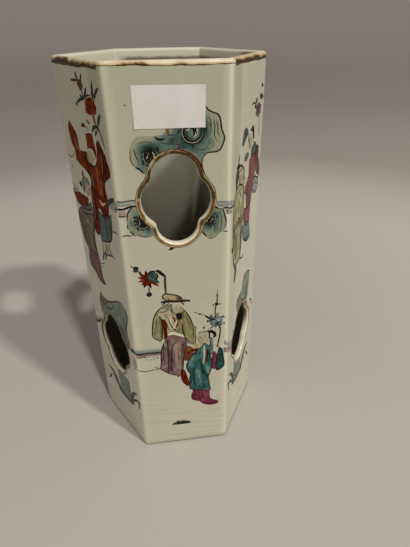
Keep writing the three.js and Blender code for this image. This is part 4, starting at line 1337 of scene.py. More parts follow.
def boy(wall, name, robe, boots, **placed):
    figure = Painting(wall, **placed)
    tail = [
        (-0.5, 80.8), (-1.5, 76), (-1, 70), (0.5, 66), (3, 62.3), (5.2, 62.8), (4.2, 68), (3.2, 73),
        (1.5, 79)
    ]
    figure.wash(IRON_RED, tail, 0.55, pools=[(0.6, 72, 1.8, 0.2), (3, 65, 1.6, -0.1)])
    figure.line(INK, tail[:5], 0.5, 0.6)
    figure.wash(boots, [(7, 58.5, 1), (6.2, 53), (6, 49.5), (7, 47), (9, 46), (11, 44.8), (13, 44.5),
        (12.6, 49), (13, 55), (12, 58.5, 1)], 0.55, pools=[(7.5, 52, 1.4, 0.3), (10, 50, 1.6, -0.12)],
        rise=0.12)
    boot = [
        (13, 57, 1), (12.6, 50), (12.2, 45.6), (14, 42.5), (17, 40.5), (21, 39.4), (25, 39.9), (26.8, 41.3),
        (26, 43.2), (23, 44.6), (20.5, 47), (20, 51), (20.3, 56.5, 1)
    ]
    figure.wash(boots, boot, 0.48,
        pools=[(16.5, 49, 2.4, -0.14), (18, 41.5, 25, 41, 1.2, 0.3), (13.2, 50, 1.2, 0.25)], rise=0.12)
    figure.lines(INK, [[(6.2, 54), (6, 49.5), (7, 47), (9, 46), (11, 44.8)],
        [(12.6, 55), (12.4, 50), *boot[2:12], (20.3, 55)]], 0.42, 0.6)
    figure.lines(boots, [[(15, 53), (15.4, 48), (17.5, 45.5)], [(9, 55), (8.6, 50), (9.6, 47.5)]], 0.5, 0.9,
        rise=0.17)
    gown = [
        (16, 102.4, 1), (13, 99), (10, 96), (7, 92.5), (4.5, 88), (2.8, 83), (3.5, 79), (5.5, 74),
        (4.7, 70), (5, 64), (4.4, 59.5, 1), (7.5, 58), (12, 57), (14, 55.8), (17, 55.2), (21, 56, 1),
        (20.2, 60), (19.4, 66), (19, 70), (20.5, 75), (21.8, 82), (21.2, 90), (20.6, 104, 1), (19.5, 101),
        (18, 103, 1)
    ]
    figure.wash(robe, gown, tone=0.42, pools=[(9, 92, 6, 87, 1.6, -0.32), (5.6, 84, 1.7, -0.28),
        (11.5, 76, 12.5, 66, 1.5, -0.26), (18.4, 80, 19, 74, 1.0, -0.2), (7.6, 78, 8.6, 64, 1.1, 0.3),
        (15.6, 60, 2.8, 0.28), (13.6, 84, 15, 76, 1.2, 0.28), (15, 76, 18.6, 70.5, 1.2, 0.3),
        (19.8, 82, 1.6, 0.15), (12.6, 88, 1.6, 0.16), (14.6, 96, 1.6, -0.15), (5.6, 66, 1.2, 0.3),
        (17.2, 64, 1.6, -0.12)], mottle=0.2)
    figure.line(CREAM_ENAMEL, [(16.2, 101), (16.2, 92), (15.2, 84)], 0.8, 0.3, start=0.8, end=0.6, rise=0.17)
    figure.wash(IRON_RED, [(17.6, 96.8), (19.6, 97), (19.4, 90), (18.3, 83.6), (16.8, 83.6), (17.4, 90)],
        0.62, rise=0.12)
    figure.wash(SLATE_ENAMEL, [(20.6, 108), (22.2, 108), (23, 100), (22.4, 92), (21, 91), (20.8, 100)],
        0.55, rise=0.12)
    figure.wash(boots,
        [(22.4, 94), (24, 94.6), (25.4, 91), (25.4, 84), (25, 78), (22.6, 77), (21.4, 79), (21.8, 86)], 0.5,
        pools=[(23.6, 85, 1.2, -0.15)], rise=0.12)
    sleeve = [
        (26.8, 98.4, 1), (29.3, 96), (30.4, 88), (31, 81), (29, 77.3), (26, 75.8), (24.6, 78), (25.2, 86),
        (25.8, 93)
    ]
    figure.wash(robe, sleeve, tone=0.6, pools=[(28.4, 91, 1.6, 0.15), (29, 82, 1.4, -0.2)])
    figure.lines(INK, [gown[:11], gown[10:16], gown[15:22], sleeve,
        [(9, 81), (7.5, 74), (8.5, 66), (10, 60)], [(14, 85), (15.5, 76), (18.5, 70.5)]], 0.55, 0.8,
        start=0.7, end=0.5)
    figure.lines(INK, [[(3.6, 82.5), (6.5, 80), (9.5, 80.6), (12.8, 84)], [(10, 95), (9.6, 90), (7.6, 86)],
        [(12.4, 79), (11, 72), (11.8, 64), (12.6, 58)], [(16.4, 72), (15.6, 64), (16.6, 57)],
        [(6.6, 71), (6, 65)], [(20.4, 106), (20.6, 98), (20.2, 91)], [(27.6, 92), (27, 85), (27.6, 79)],
        [(19.4, 97), (19.8, 90), (18.6, 83)], [(22.4, 93), (22, 86), (22.6, 78)], [(13.6, 97.6), (12.4, 92)]],
        0.34, 0.65)
    figure.wash(FLESH_WASH,
        [(9, 104.6), (12, 105), (15, 103), (14.6, 99.4), (12, 97.6), (8.6, 98), (7.4, 101)], 0.15, edge=0.05)
    figure.wash(OCHRE_WASH, [(1.6, 100.6), (5, 102), (8, 99.6), (8.8, 96.4), (7.6, 93), (7, 89.8),
        (3.6, 87.6), (0.8, 89.4), (1.6, 93.5), (1, 97)], 0.6,
        pools=[(4.4, 95, 2, 0.35), (3.6, 90.6, 1.4, 0.25)])
    figure.line(IRON_RED, [(6.6, 97.6), (8.8, 97.6), (12, 98)], 2.1, 0.6, start=0.9, end=0.8)
    figure.lines(INK,
        [[(2.2, 100), (5, 101.2), (7.2, 99)], [(3.2, 97), (4.6, 94.4), (3.4, 91.6)], [(6, 98), (5.4, 93)]],
        0.36, 0.75)
    hand(figure, (11.4, 100.8), (2.8, 2.2), 30)
    hand(figure, (26.2, 99.4), (2.2, 2.4), 60)
    head(figure, (15.8, 108.0), (8.4, 10.6), -1, 4, 0.05)
    figure.wash(COPING_ENAMEL,
        [(11.6, 111), (13, 113.2), (15.5, 113.6), (18.6, 113.4), (18.8, 111), (15.2, 111.6)], 0.05, edge=0.1)
    figure.line(INK, [(12.4, 113.2), (15.5, 113.4), (18.5, 113.8), (20, 115.4)], 0.5, 0.5, start=0.5)
    figure.wash(INK, [(19, 113.8), (21.2, 114.6), (24, 113), (25.4, 110.4), (24.6, 107.6), (22.6, 107.2),
        (23, 109.6), (21.8, 111.4), (19.6, 111.8)], 1.0, edge=0)
    figure.wash(INK,
        [(18.4, 113.6), (20.4, 113), (20.8, 109.6), (20.2, 106.2), (19.4, 108.6), (19.4, 111.4)], 0.85,
        edge=0)
    figure.dab(INK, (20.3, 107.3), (1.4, 2.2), 0.9)
    figure.fired(name)

    branch = Painting(wall, **placed)
    branch.line(INK, [(26, 99), (26.6, 103), (27.5, 108), (27.9, 113), (27.4, 117), (25.2, 120)], 0.75,
        0.65, start=0.7, end=0.8)
    branch.line(INK, [(24.6, 124), (24.2, 129), (24.5, 134), (25.4, 138), (25.6, 143), (25.7, 148.5)], 0.6,
        0.6, start=0.9, end=0.1)
    branch.line(INK, [(23.5, 123), (20, 125), (17.2, 127.3)], 0.95, 0.85, start=0.5, end=0.8)
    branch.lines(INK, [[(16.6, 127.8), (14.6, 128.8)], [(12.6, 129.6), (9.6, 131.2)],
        [(17, 118.5), (16.3, 117), (16, 115)]], 0.34, 0.35)
    branch.dab(INK, (13.6, 129), (2.4, 1.6), 0.85, -10)
    branch.dab(SLATE_ENAMEL, (16.3, 117), (1.8, 2.6), 0.6)
    branch.dab(LEAF_ENAMEL, (25.2, 136.2), (3.0, 3.2), 0.75)
    branch.lines(LEAF_ENAMEL,
        [[(25.6, 142), (25.4, 144.5)], [(23.4, 136), (22.4, 135.2)], [(27, 136.4), (28, 135.6)]], 0.8, 0.7)
    branch.wash(COPING_ENAMEL, [(19.6, 124.4), (21.6, 126.6), (24, 125.8), (26, 127.4), (28.4, 125),
        (29.8, 122.4), (29, 119.4), (29.6, 117.4), (26.4, 117.6), (24.6, 116.2), (22, 117.6), (20.6, 120)],
        0.62, mottle=0.5, edge=0.3)
    branch.lines(LEAF_ENAMEL, [[(19.4, 121.4), (18.2, 123.4)], [(20.4, 126), (22.4, 127.8)],
        [(25, 127.4), (27, 128.4)], [(29.4, 125.6), (31, 124.2)], [(30, 120), (31.4, 118.8)],
        [(22.4, 116.8), (20.6, 115.8)], [(27, 116.4), (28.6, 115.4)],
        [(20.6, 122), (23, 123.4), (25.4, 122.4)], [(24, 119.4), (26.4, 120.6), (28.6, 120)]], 0.7, 0.9,
        rise=0.15)
    for i, (x, z) in enumerate(((21.6, 124.4), (23.6, 121), (26, 124.6), (28, 121.6), (24.8, 118.4),
        (27.6, 118.8), (22, 119.6), (25.6, 121.6), (19.8, 122.6), (28.8, 125))):
        branch.dab(LEAF_ENAMEL, (x, z), (2.4, 1.0), 0.85, i * 47, rise=0.15)
        branch.dab(COPING_ENAMEL, (x + 1.1, z - 0.9), 0.8, 0.2, rise=0.17)
    branch.fired(name + "_branch")


boy("front", "front_boy", TEAL_ENAMEL, ROSE_ENAMEL)


# The grass: tufts of short enamel strokes that mark the ground before the figures. With it go the marks the
# kiln left on the front wall: a pale speck over its opening, and brown drips at the opening's foot.
def grass(wall, name, **placed):
    tuft = Painting(wall, **placed)
    tuft.wash(LEAF_ENAMEL, [(-10.5, 20.8), (-8, 21.2), (-6, 22.6), (-2, 23.4), (1.5, 23.2), (4.8, 21.6),
        (5, 20.8), (2, 20.2), (-3, 20.3), (-8, 20.4)], 0.5)
    for foot, tip in (
        (-9.4, (-9.8, 22.2)), (-7.6, (-8.4, 23.2)), (-6, (-6.6, 25)), (-4.6, (-4.9, 25.4)),
        (-3, (-2.8, 25.2)), (-1.6, (-0.9, 25.4)), (-0.2, (0.8, 24.8)), (1.2, (2.6, 24)), (2.6, (4.4, 22.8))
    ):
        tuft.line(LEAF_ENAMEL, [(foot, 20.6), ((foot + tip[0]) / 2, 22.4), tip], 1.1, 0.8, start=0.9,
            end=0.15)
    tuft.fired(name)


grass("front", "front_grass")
kiln_speck = Painting("front")
kiln_speck.dab(INK, (-23, 264.7), (1.5, 1.1), 0.02)
kiln_speck.wash(INK, [(-5.4, 179.8), (-4, 181.4), (-2, 182.6), (0, 182.4), (-1.4, 180.6), (-3.4, 179.6)],
    0.95)
kiln_speck.line(IRON_RED, quatrefoil("front", 2.7)[16:25], 0.62, 0.66, start=0.3, end=0.3, over_edging=True)
kiln_speck.fired("front_brown_drips")


# The dancer and the bowing boy: the pair on the wall at the front's left. The dancer throws up the sleeves
# of an iron-red robe over a teal skirt. Iron red is a thin pigment, so the strokes of the brush show in it.
def dancer(wall, name, robe, skirt, **placed):
    figure = Painting(wall, **placed)
    figure.wash(FLESH_WASH, [(4.6, 179.5), (4, 173), (3, 167.5), (5.5, 168.6), (10, 171.6), (14.6, 172),
        (15.8, 178), (10, 180)], 0.1)
    figure.lines(INK, [[(5, 178), (4.4, 173), (3.6, 168), (3.2, 163.4)],
        [(9.6, 178), (9, 173), (6.4, 169), (5.2, 164.6)], [(11, 178), (11.6, 174), (9.8, 171)],
        [(15.6, 180), (15, 175), (16, 172.4), (20.5, 170.2)]], 0.7, 0.7)
    figure.lines(LEAF_ENAMEL,
        [[(1.4, 161.6), (3, 166), (5.6, 169.4)], [(5.4, 163.6), (8, 168.6), (12, 170), (19, 171.6)]], 1.2,
        0.7)
    figure.lines(INK, [[(-4.5, 157), (0, 158.2), (4, 161)], [(-4, 154.6), (-1, 155)]], 0.4, 0.3)
    figure.shape(skirt, [(4.4, 200, 1), (12, 197.4), (20, 200), (23, 202, 1), (22.6, 195), (20.2, 185.4),
        (17, 181.6), (10, 179), (4, 177.4, 1), (3.6, 184), (4.6, 192)], 0.38,
        pools=[(13.6, 194, 14.6, 182, 1.6, 0.3), (8, 195, 9, 181, 1.6, -0.1),
        (20.6, 196, 19, 186, 1.2, 0.25)], folds=[[(4, 178), (10, 179.4), (17, 182), (20, 185.6)]],
        fine=[[(8, 196), (7.6, 188), (9, 181)], [(14.6, 196), (15.6, 188), (14.8, 182.6)],
        [(18.6, 197), (19, 189)]])
    figure.shape(robe, [(-19.2, 250.2, 1), (-21.6, 245.6), (-21, 240), (-19.6, 236), (-17, 233),
        (-17.2, 227, 1), (-12, 225), (-4, 222.8), (0.4, 220), (1.4, 216.5), (-1, 211), (-2, 205),
        (-2.6, 196), (-4, 181.2, 1), (0, 180.6), (4, 183, 1), (4.6, 192), (5.4, 200), (9, 202, 1),
        (11.4, 198.6), (15, 196.2), (18.8, 198, 1), (20.5, 203), (22.4, 210, 1), (20, 215), (20.4, 220.5),
        (24, 223.8), (28.6, 226.2, 1), (28.8, 230), (25.6, 236), (22.6, 240.5), (18.8, 244.6, 1),
        (16.4, 243), (15.6, 238), (13.6, 232.4), (10.6, 228.8), (5, 228), (0.6, 229.6), (0, 234.6, 1),
        (-9, 234), (-10.4, 238), (-11, 243), (-15, 246.6)], 0.48, pools=[(-16, 242, -13, 236, 2.2, -0.16),
        (-19, 248, 3, -0.3), (-8, 230, 2, 226, 2.4, 0.14), (24.6, 238, 23, 226, 3.4, 0.3),
        (12, 222, 12, 212, 2.6, -0.2), (2, 222, 4, 210, 2.0, 0.2), (-1, 204, -1, 186, 2.0, 0.1),
        (15.6, 202, 2.4, 0.25), (19, 222, 1.6, 0.2)], folds=[[(1, 219), (3.6, 213), (2.6, 205), (3.4, 196)],
        [(18.4, 243), (19, 236), (17.6, 229), (18.8, 221.6)]], fine=[[(-17.6, 246), (-17, 240), (-14.6, 235)],
        [(-13, 232), (-6, 230.6), (1.6, 226), (5.6, 220)], [(8, 226), (8.6, 218), (7.6, 210)],
        [(13.6, 227), (14.4, 218), (13.2, 210)], [(23.4, 238), (24.4, 232), (22.6, 226.6)],
        [(-0.6, 200), (0, 190), (-1.4, 183)], [(26.8, 232.6), (26.6, 228.6)],
        [(16.8, 224), (17.6, 215), (17, 208)]], width=0.5, ink=1.0, mottle=0.36, pen=IRON_RED)
    figure.lines(FLESH_WASH, [[(10.6, 228.4), (11.6, 223), (11, 217.4)], [(2.4, 224), (4, 217), (3.4, 211)],
        [(-0.8, 206), (-0.2, 198), (-1, 190)], [(19.6, 238), (20, 231), (18.8, 225)],
        [(15.4, 222), (15.8, 214)], [(-14.4, 240), (-12, 235.4), (-7, 232.4)]], 0.5, 0.75, rise=0.13)
    figure.lines(INK, [[(11.6, 228), (12.6, 222), (12, 216)], [(3.6, 224.6), (5.4, 217), (4.4, 210)],
        [(0.6, 206), (1, 198), (0.4, 188)], [(20.8, 238.6), (21.2, 231)],
        [(16.6, 222), (17, 213), (16, 206)]], 0.32, 0.8)
    figure.dab(INK, (25.4, 236.6), (1.6, 4.4), 0.85, 10)
    figure.lines(CREAM_ENAMEL, [[(9.6, 207.4), (13.4, 206.2), (18.4, 207.6)], [(11, 205.4), (15.6, 205)]],
        0.8, 0.4, rise=0.17)
    figure.lines(INK, [[(6, 208.4), (10, 207), (14, 205.4), (19.6, 206.8)], [(8, 203), (12, 203.6)]], 0.45,
        0.7)
    figure.wash(LEAF_ENAMEL, [(19.8, 208.6), (22.4, 211.4), (26, 213.6), (29.6, 214.4), (30.4, 212.4),
        (27, 210.4), (23.6, 208.2), (21, 206.8)], 0.75, rise=0.14)
    figure.wash(SLATE_ENAMEL,
        [(24, 209.4), (28, 211), (32.4, 212.6), (32.6, 207), (27, 206), (23.6, 206.6)], 0.2)
    head(figure, (5.2, 233.4), (8.6, 9.6), -1, -4)
    figure.shape(robe, [(3, 237.4, 1), (3.6, 242), (3, 245.4, 1), (7, 246.4), (11.6, 246.8, 1), (12.4, 242),
        (13.6, 237.6), (13, 234, 1), (10.4, 237.8), (6, 238.6)], 0.4, pools=[(8, 242, 3, 0.12)],
        fine=[[(6, 245), (6.4, 240)], [(9.4, 246), (9.6, 240.6)]], ink=1.0, pen=IRON_RED)
    figure.fired(name)


def bowing_boy(wall, name, robe, skirt, boots, **placed):
    figure = Painting(wall, **placed)
    figure.shape(boots, [(-20.4, 161.5, 1), (-23, 153), (-21.6, 147.4), (-18, 146), (-14.6, 144.4),
        (-12, 141.4), (-6, 139.6), (-0.4, 140.4, 1), (-3.4, 143.6), (-4.8, 148), (-5.2, 155),
        (-5.6, 161.5, 1), (-13, 163)], 0.6, pools=[(-20.6, 156, -18, 147, 2.2, 0.45),
        (-10, 141.4, -3, 140.6, 1.4, 0.5), (-11, 152, 3, -0.1), (-6.4, 158, -6.4, 147, 1.0, 0.3)],
        folds=[[(-14.4, 160), (-15.4, 152), (-12, 144.6)]], width=0.6, rise=0.12)
    figure.shape(skirt, [(-23.6, 192.6, 1), (-28, 188.6), (-29.4, 183), (-28, 175), (-26.4, 168),
        (-21.6, 161.4, 1), (-15, 160), (-6.2, 162.6, 1), (-7.8, 171), (-6.8, 179), (-4, 186),
        (-2.4, 193.6, 1), (-8, 192.4), (-16, 190.4)], 0.7, pools=[(-15, 184.4, 1.8, -0.6),
        (-10, 183.4, 1.4, -0.6), (-12, 168, -11.6, 176, 1.2, -0.3), (-26, 186, -23, 167, 1.8, 0.25),
        (-20, 180, -18, 166, 1.6, 0.2), (-9.6, 176, -8, 166, 1.4, 0.2), (-13, 174, 2.4, -0.16)],
        folds=[[(-25, 188), (-24, 178), (-21.4, 168), (-19, 162)],
        [(-4.6, 188), (-9.4, 180), (-9.8, 170), (-8.4, 164)]], fine=[[(-20, 189), (-20.6, 180), (-17, 170),
        (-15.6, 163)], [(-12, 190), (-14.6, 180), (-13, 168)], [(-8, 190.6), (-11.4, 184)],
        [(-26.6, 180), (-24.6, 170), (-21.6, 163.6)], [(-17, 188), (-18.4, 178)],
        [(-10.6, 176), (-11.4, 166)]], width=0.7)
    figure.shape(robe, [(-33, 204, 1), (-28, 202.4), (-22, 203.6), (-14, 203.4), (-8, 203.6, 1),
        (-10, 198.6), (-16, 196.4), (-22, 194.8), (-27, 195.6), (-29.4, 199)], 0.35,
        pools=[(-26, 198, 3, 0.2), (-15, 201.6, 2.6, 0.25)],
        folds=[[(-33, 204.3), (-28, 204.4), (-22, 205)], [(-20, 202), (-14, 201.4), (-9.6, 202.4)]],
        fine=[[(-28, 200), (-22, 198.4), (-17, 197.6)]])
    figure.shape(LEAF_ENAMEL, [(-19.8, 194.6, 1), (-14, 196), (-9, 198.6), (-5, 201.6, 1), (-4.8, 197.6),
        (-9, 195.4), (-15, 193.8)], 0.28)
    figure.wash(BRICK_ENAMEL, [(-23.4, 194), (-15, 194.4), (-7, 196.6), (-3, 199), (-2.6, 193.4),
        (-9, 191.4), (-17, 190.2), (-22.6, 190.4)], 0.65)
    figure.lines(INK,
        [[(-22.6, 192.8), (-17, 193.4), (-10, 194.6), (-4, 197)], [(-22, 190), (-15, 190.8), (-6, 192.6)]],
        0.75, 0.75)
    head(figure, (-6.6, 210.4), (7.6, 8.8), 1, -8)
    figure.wash(SLATE_ENAMEL, [(-15.6, 209.4), (-14, 213.6), (-9.6, 216.4), (-4.6, 216.2), (-2, 213.2),
        (-5.6, 213.4), (-9.4, 212.4), (-11.6, 209), (-12, 205.6), (-14.4, 207)], 0.62,
        pools=[(-8, 215.4, 2, -0.2)], rise=0.12)
    figure.lines(INK, [[(-14.8, 212), (-11, 216.4), (-6, 217), (-1.8, 213.6), (-1, 210.6)],
        [(-12, 206.4), (-11, 210), (-8.6, 212.6)]], 0.55, 0.75)
    figure.dab(INK, (-17, 210.8), (4.2, 4.0), 1.0, 15)
    figure.line(IRON_RED, [(-11.2, 217), (-10.6, 219), (-11, 221)], 1.6, 0.75, start=0.9, end=0.5)
    figure.lines(INK,
        [[(-30, 227.4), (-24, 226.8), (-20, 229.6), (-16.8, 231.4)], [(-27, 222), (-24.8, 219.6)]], 0.45,
        0.25)
    figure.fired(name)


def peony(wall, name, flower, **placed):
    spray = Painting(wall, **placed)
    spray.lines(OCHRE_WASH, [[(17, 258.6), (17.6, 255.6), (18.8, 253.4)]], 2.0, 0.7, start=0.9, end=0.6)
    spray.line(INK, [(21.6, 251.6), (24.4, 246.6), (26.6, 241.4)], 0.75, 0.5, start=0.9)
    for path, wide in (
        ([(12.4, 248.2), (15.6, 251.2), (21.6, 252.6)], 1.6),
        ([(21.4, 252.8), (23, 256), (25.8, 259.4)], 1.7), ([(19.4, 266), (20, 270.6), (21, 275.2)], 1.8),
        ([(21, 266.4), (24, 270), (28, 272.6)], 1.4), ([(-6.6, 273.6), (-2, 274), (3.6, 274.2)], 1.0),
        ([(1.4, 278.4), (1.8, 276.4), (3.2, 274)], 1.5), ([(8.6, 278), (7.6, 275.6), (5.6, 273.4)], 1.1),
        ([(12.8, 271.4), (11, 269), (8.6, 266.4)], 1.4), ([(-2.8, 261.8), (1.6, 264), (7.6, 265)], 1.2),
        ([(3, 266.8), (6.6, 265.6), (9.6, 265.4)], 1.2), ([(19, 250), (17.4, 248.4), (16, 246.6)], 1.3)
    ):
        spray.line(LEAF_ENAMEL, path, wide, 0.88, start=0.3, end=0.3, rise=0.12)
    spray.dab(LEAF_ENAMEL, (20.6, 251.6), (3.2, 3.6), 0.95, 20)
    spray.dab(LEAF_ENAMEL, (-3.2, 261.4), (3.0, 2.2), 0.95)
    spray.line(INK, [(6.4, 269.6), (7.6, 267), (9.4, 264.8)], 0.7, 0.85)
    spray.petals(flower, (14.6, 262), [(7, 258.4), (7.6, 263.6), (10.6, 266.2), (14, 267.4), (18, 267.4),
        (21.6, 266), (23, 262.6), (21.6, 259.2), (16.4, 257.4), (11.4, 257)], 4.6, 0.32, waist=0.6)
    spray.dab(flower, (15, 262.4), (8, 6), 0.34, rise=0.12)
    spray.lines(flower, [[(9.4, 266), (12.6, 267.4), (17, 267.8)], [(8.6, 262.6), (11, 259.6), (13, 257.6)],
        [(19.4, 265.6), (21.6, 262.4), (20.4, 258.8)], [(12.6, 264.8), (14.8, 265.8), (17.6, 264.6)]], 0.7,
        1.0, rise=0.18)
    for turn in (10, 80, 160, 230, 300):
        spray.ring(INK, (15 + 2.6 * cos(radians(turn)), 262.2 + 2.0 * sin(radians(turn))), 1.5, 0.3, 0.5,
            turn - 60, 160)
    spray.petals(OCHRE_WASH, (5.6, 272),
        [(1, 272.6), (3.4, 275), (7.6, 275.2), (9.4, 272), (6.6, 268.6), (4.4, 269)], 3.2, 0.8, waist=0.6)
    spray.dab(flower, (1, 250.2), (5.6, 2.8), 0.6, 8)
    spray.dab(OCHRE_WASH, (8.8, 253.2), (5.0, 1.8), 0.85, -28)
    spray.line(INK, [(2.6, 249.8), (5.4, 250), (8, 248.6)], 0.35, 0.4)
    spray.fired(name)


dancer("front_left", "left_dancer", IRON_RED, LEAF_ENAMEL)
bowing_boy("front_left", "left_bowing_boy", IRON_RED, OLIVE_ENAMEL, ROSE_ENAMEL)
peony("front_left", "left_peony", IRON_RED)


# The rocks round the low openings: a pierced rock over each opening, and under it the rock's foot with
# broad leaves.
def low_rock_foot(wall, name, tone=0.45, **placed):
    rock = Painting(wall, **placed)
    rock.wash(ROCK_ENAMEL, [(-3.6, 60, 1), (-2.6, 50), (-1.4, 42), (-5.6, 34.6), (4, 33.6), (14, 34),
        (20.4, 36.6), (16.4, 44), (16, 52), (16.6, 60, 1)], tone - 0.1,
        pools=[(-4, 35.6, 19, 36.6, 2.0, 0.45), (8, 46, 4, 0.1), (1, 46, 2.4, -0.12)])
    rock.lines(INK, [[(-1.6, 44), (-2.6, 38), (-5.4, 34.4), (4, 33.4), (14, 33.8), (20, 36.4)],
        [(16.4, 58), (15.8, 50), (16.8, 42), (19, 37.6)]], 0.5, 0.5)
    rock.lines(INK, [[(3, 56), (4.4, 48), (3.2, 41)], [(11, 56), (12.4, 47), (11.4, 40)]], 0.35, 0.35)
    rock.lines(LEAF_ENAMEL, [[(-4, 35), (-6, 42), (-9, 46.6), (-14, 49.2), (-20.4, 50.6)],
        [(17, 37), (18.8, 45.6), (22.4, 51), (27, 54.4)]], 2.6, 0.85, start=0.9, end=0.35)
    rock.lines(LEAF_ENAMEL, [[(-17.2, 42.6), (-20, 38.6), (-23.4, 34)],
        [(18, 38), (22, 43.4), (27, 46.6), (29.2, 46.8), (28.8, 42.4), (27.4, 38)]], 1.7, 0.75, start=0.5,
        end=0.4)
    rock.lines(LEAF_ENAMEL, [[(-6, 40), (-11, 44), (-16, 44.6)], [(-4, 37), (-9, 40), (-12, 40.6)]], 1.2,
        0.3, end=0.3)
    rock.fired(name)


def rock_over_low_opening(wall, name, **placed):
    rock = Painting(wall, **placed)
    outline = [
        (-18, 116.4), (-16.6, 122), (-14.4, 127), (-12.2, 128.8), (-10.4, 126.2), (-4, 125.4), (2, 127.5),
        (7, 130), (13, 133.5), (18, 136), (22.6, 135.6), (26.4, 132.6), (27.6, 129), (26.4, 122),
        (24.6, 116), (25.4, 106), (24.6, 98), (20, 96), (14, 104), (0, 110), (-12, 106)
    ]
    rock.wash(ROCK_ENAMEL, outline, 0.38, pools=[(12, 122, 6, -0.06), (17, 110, 21, 98, 3.0, 0.4),
        (24, 131, 2.4, -0.25), (2, 114, 12, 111, 3.0, 0.25), (4, 118, 18, 126, 1.6, 0.14)], mottle=0.2)
    rock.wash(OLIVE_ENAMEL, [(-18, 116.6), (-16.6, 122), (-14.2, 127), (-12.2, 128.6), (-10.6, 126.2),
        (-4, 125.4), (1, 126.8), (-4, 121.4), (-10, 117.4), (-14, 113.6)], 0.62,
        pools=[(-12, 121, 3, 0.15)], rise=0.12)
    rock.lines(INK, [[(-12.4, 128.4), (-13.6, 125.6), (-14.6, 121)],
        [(-10.6, 126.2), *outline[5:10], (21.8, 135.6)],
        [(24.6, 133.6), (27, 131), (27.2, 127), (25.6, 122), (23.6, 116), (22.4, 109)],
        [(-9, 119), (-2, 119.4), (6, 123.6)]], 0.8, 0.75)
    rock.lines(INK, [[(25.6, 134), (26, 131.6), (24.4, 130.4)], [(20.4, 124), (22, 117), (20.6, 110)],
        [(-16, 112), (-17.6, 106)], [(24.6, 107), (26, 103.6), (24.4, 99)]], 0.5, 0.55)
    rock.fired(name)


rock_over_low_opening("front_left", "left_rock_over_opening")
low_rock_foot("front_left", "left_rock_foot")
coping = Painting("front_left")
strip(coping, COPING_ENAMEL, [(-32.7, 96.6), (-28, 97.2), (-22, 99.6), (-19, 102)], 4.2, 0.4)
coping.lines(INK,
    [[(-32.7, 91.4), (-29, 91.6), (-25, 94), (-20.6, 98.4)], [(26, 98.4), (29, 99.2), (32.7, 99)]], 1.5,
    0.7, start=1, end=0.7)
strip(coping, COPING_ENAMEL, [(26, 101.6), (29.4, 102.4), (32.7, 102)], 3.4, 0.6)
strip(coping, BRICK_ENAMEL, [(28.4, 94), (30.4, 93.4), (32.7, 93)], 8.4, 0.1)
coping.line(INK, [(29.6, 84.4), (31.2, 83.4), (32.7, 83.6)], 0.5, 0.4)
strip(coping, COPING_ENAMEL, [(-33, 208.6), (-28, 208), (-22, 207.4)], 2.4, 0.1)
strip(coping, COPING_ENAMEL, [(29.6, 212.6), (31, 212.8), (32.7, 213)], 3.0, 0.3)
coping.lines(INK, [[(22.4, 190.6), (26, 191.6), (30.6, 191.6)], [(29.6, 208), (31, 208.2), (32.7, 208.4)]],
    0.55, 0.4)
coping.fired("left_garden_wall")


# The lady and the attendant: the pair on the wall at the front's right. The lady holds up a fan and wears
# rose enamel, the thickest of the palette, and the attendant a pale yellow robe.
YELLOW_ENAMEL = Enamel(
    "pale_yellow_enamel", [(190, 184, 152), (176, 168, 132), (150, 138, 98), (100, 90, 58), (50, 42, 26)]
)
MAROON_ENAMEL = Enamel(
    "maroon_enamel", [(168, 114, 102), (136, 70, 64), (102, 43, 40), (70, 28, 24), (38, 16, 14)]
)


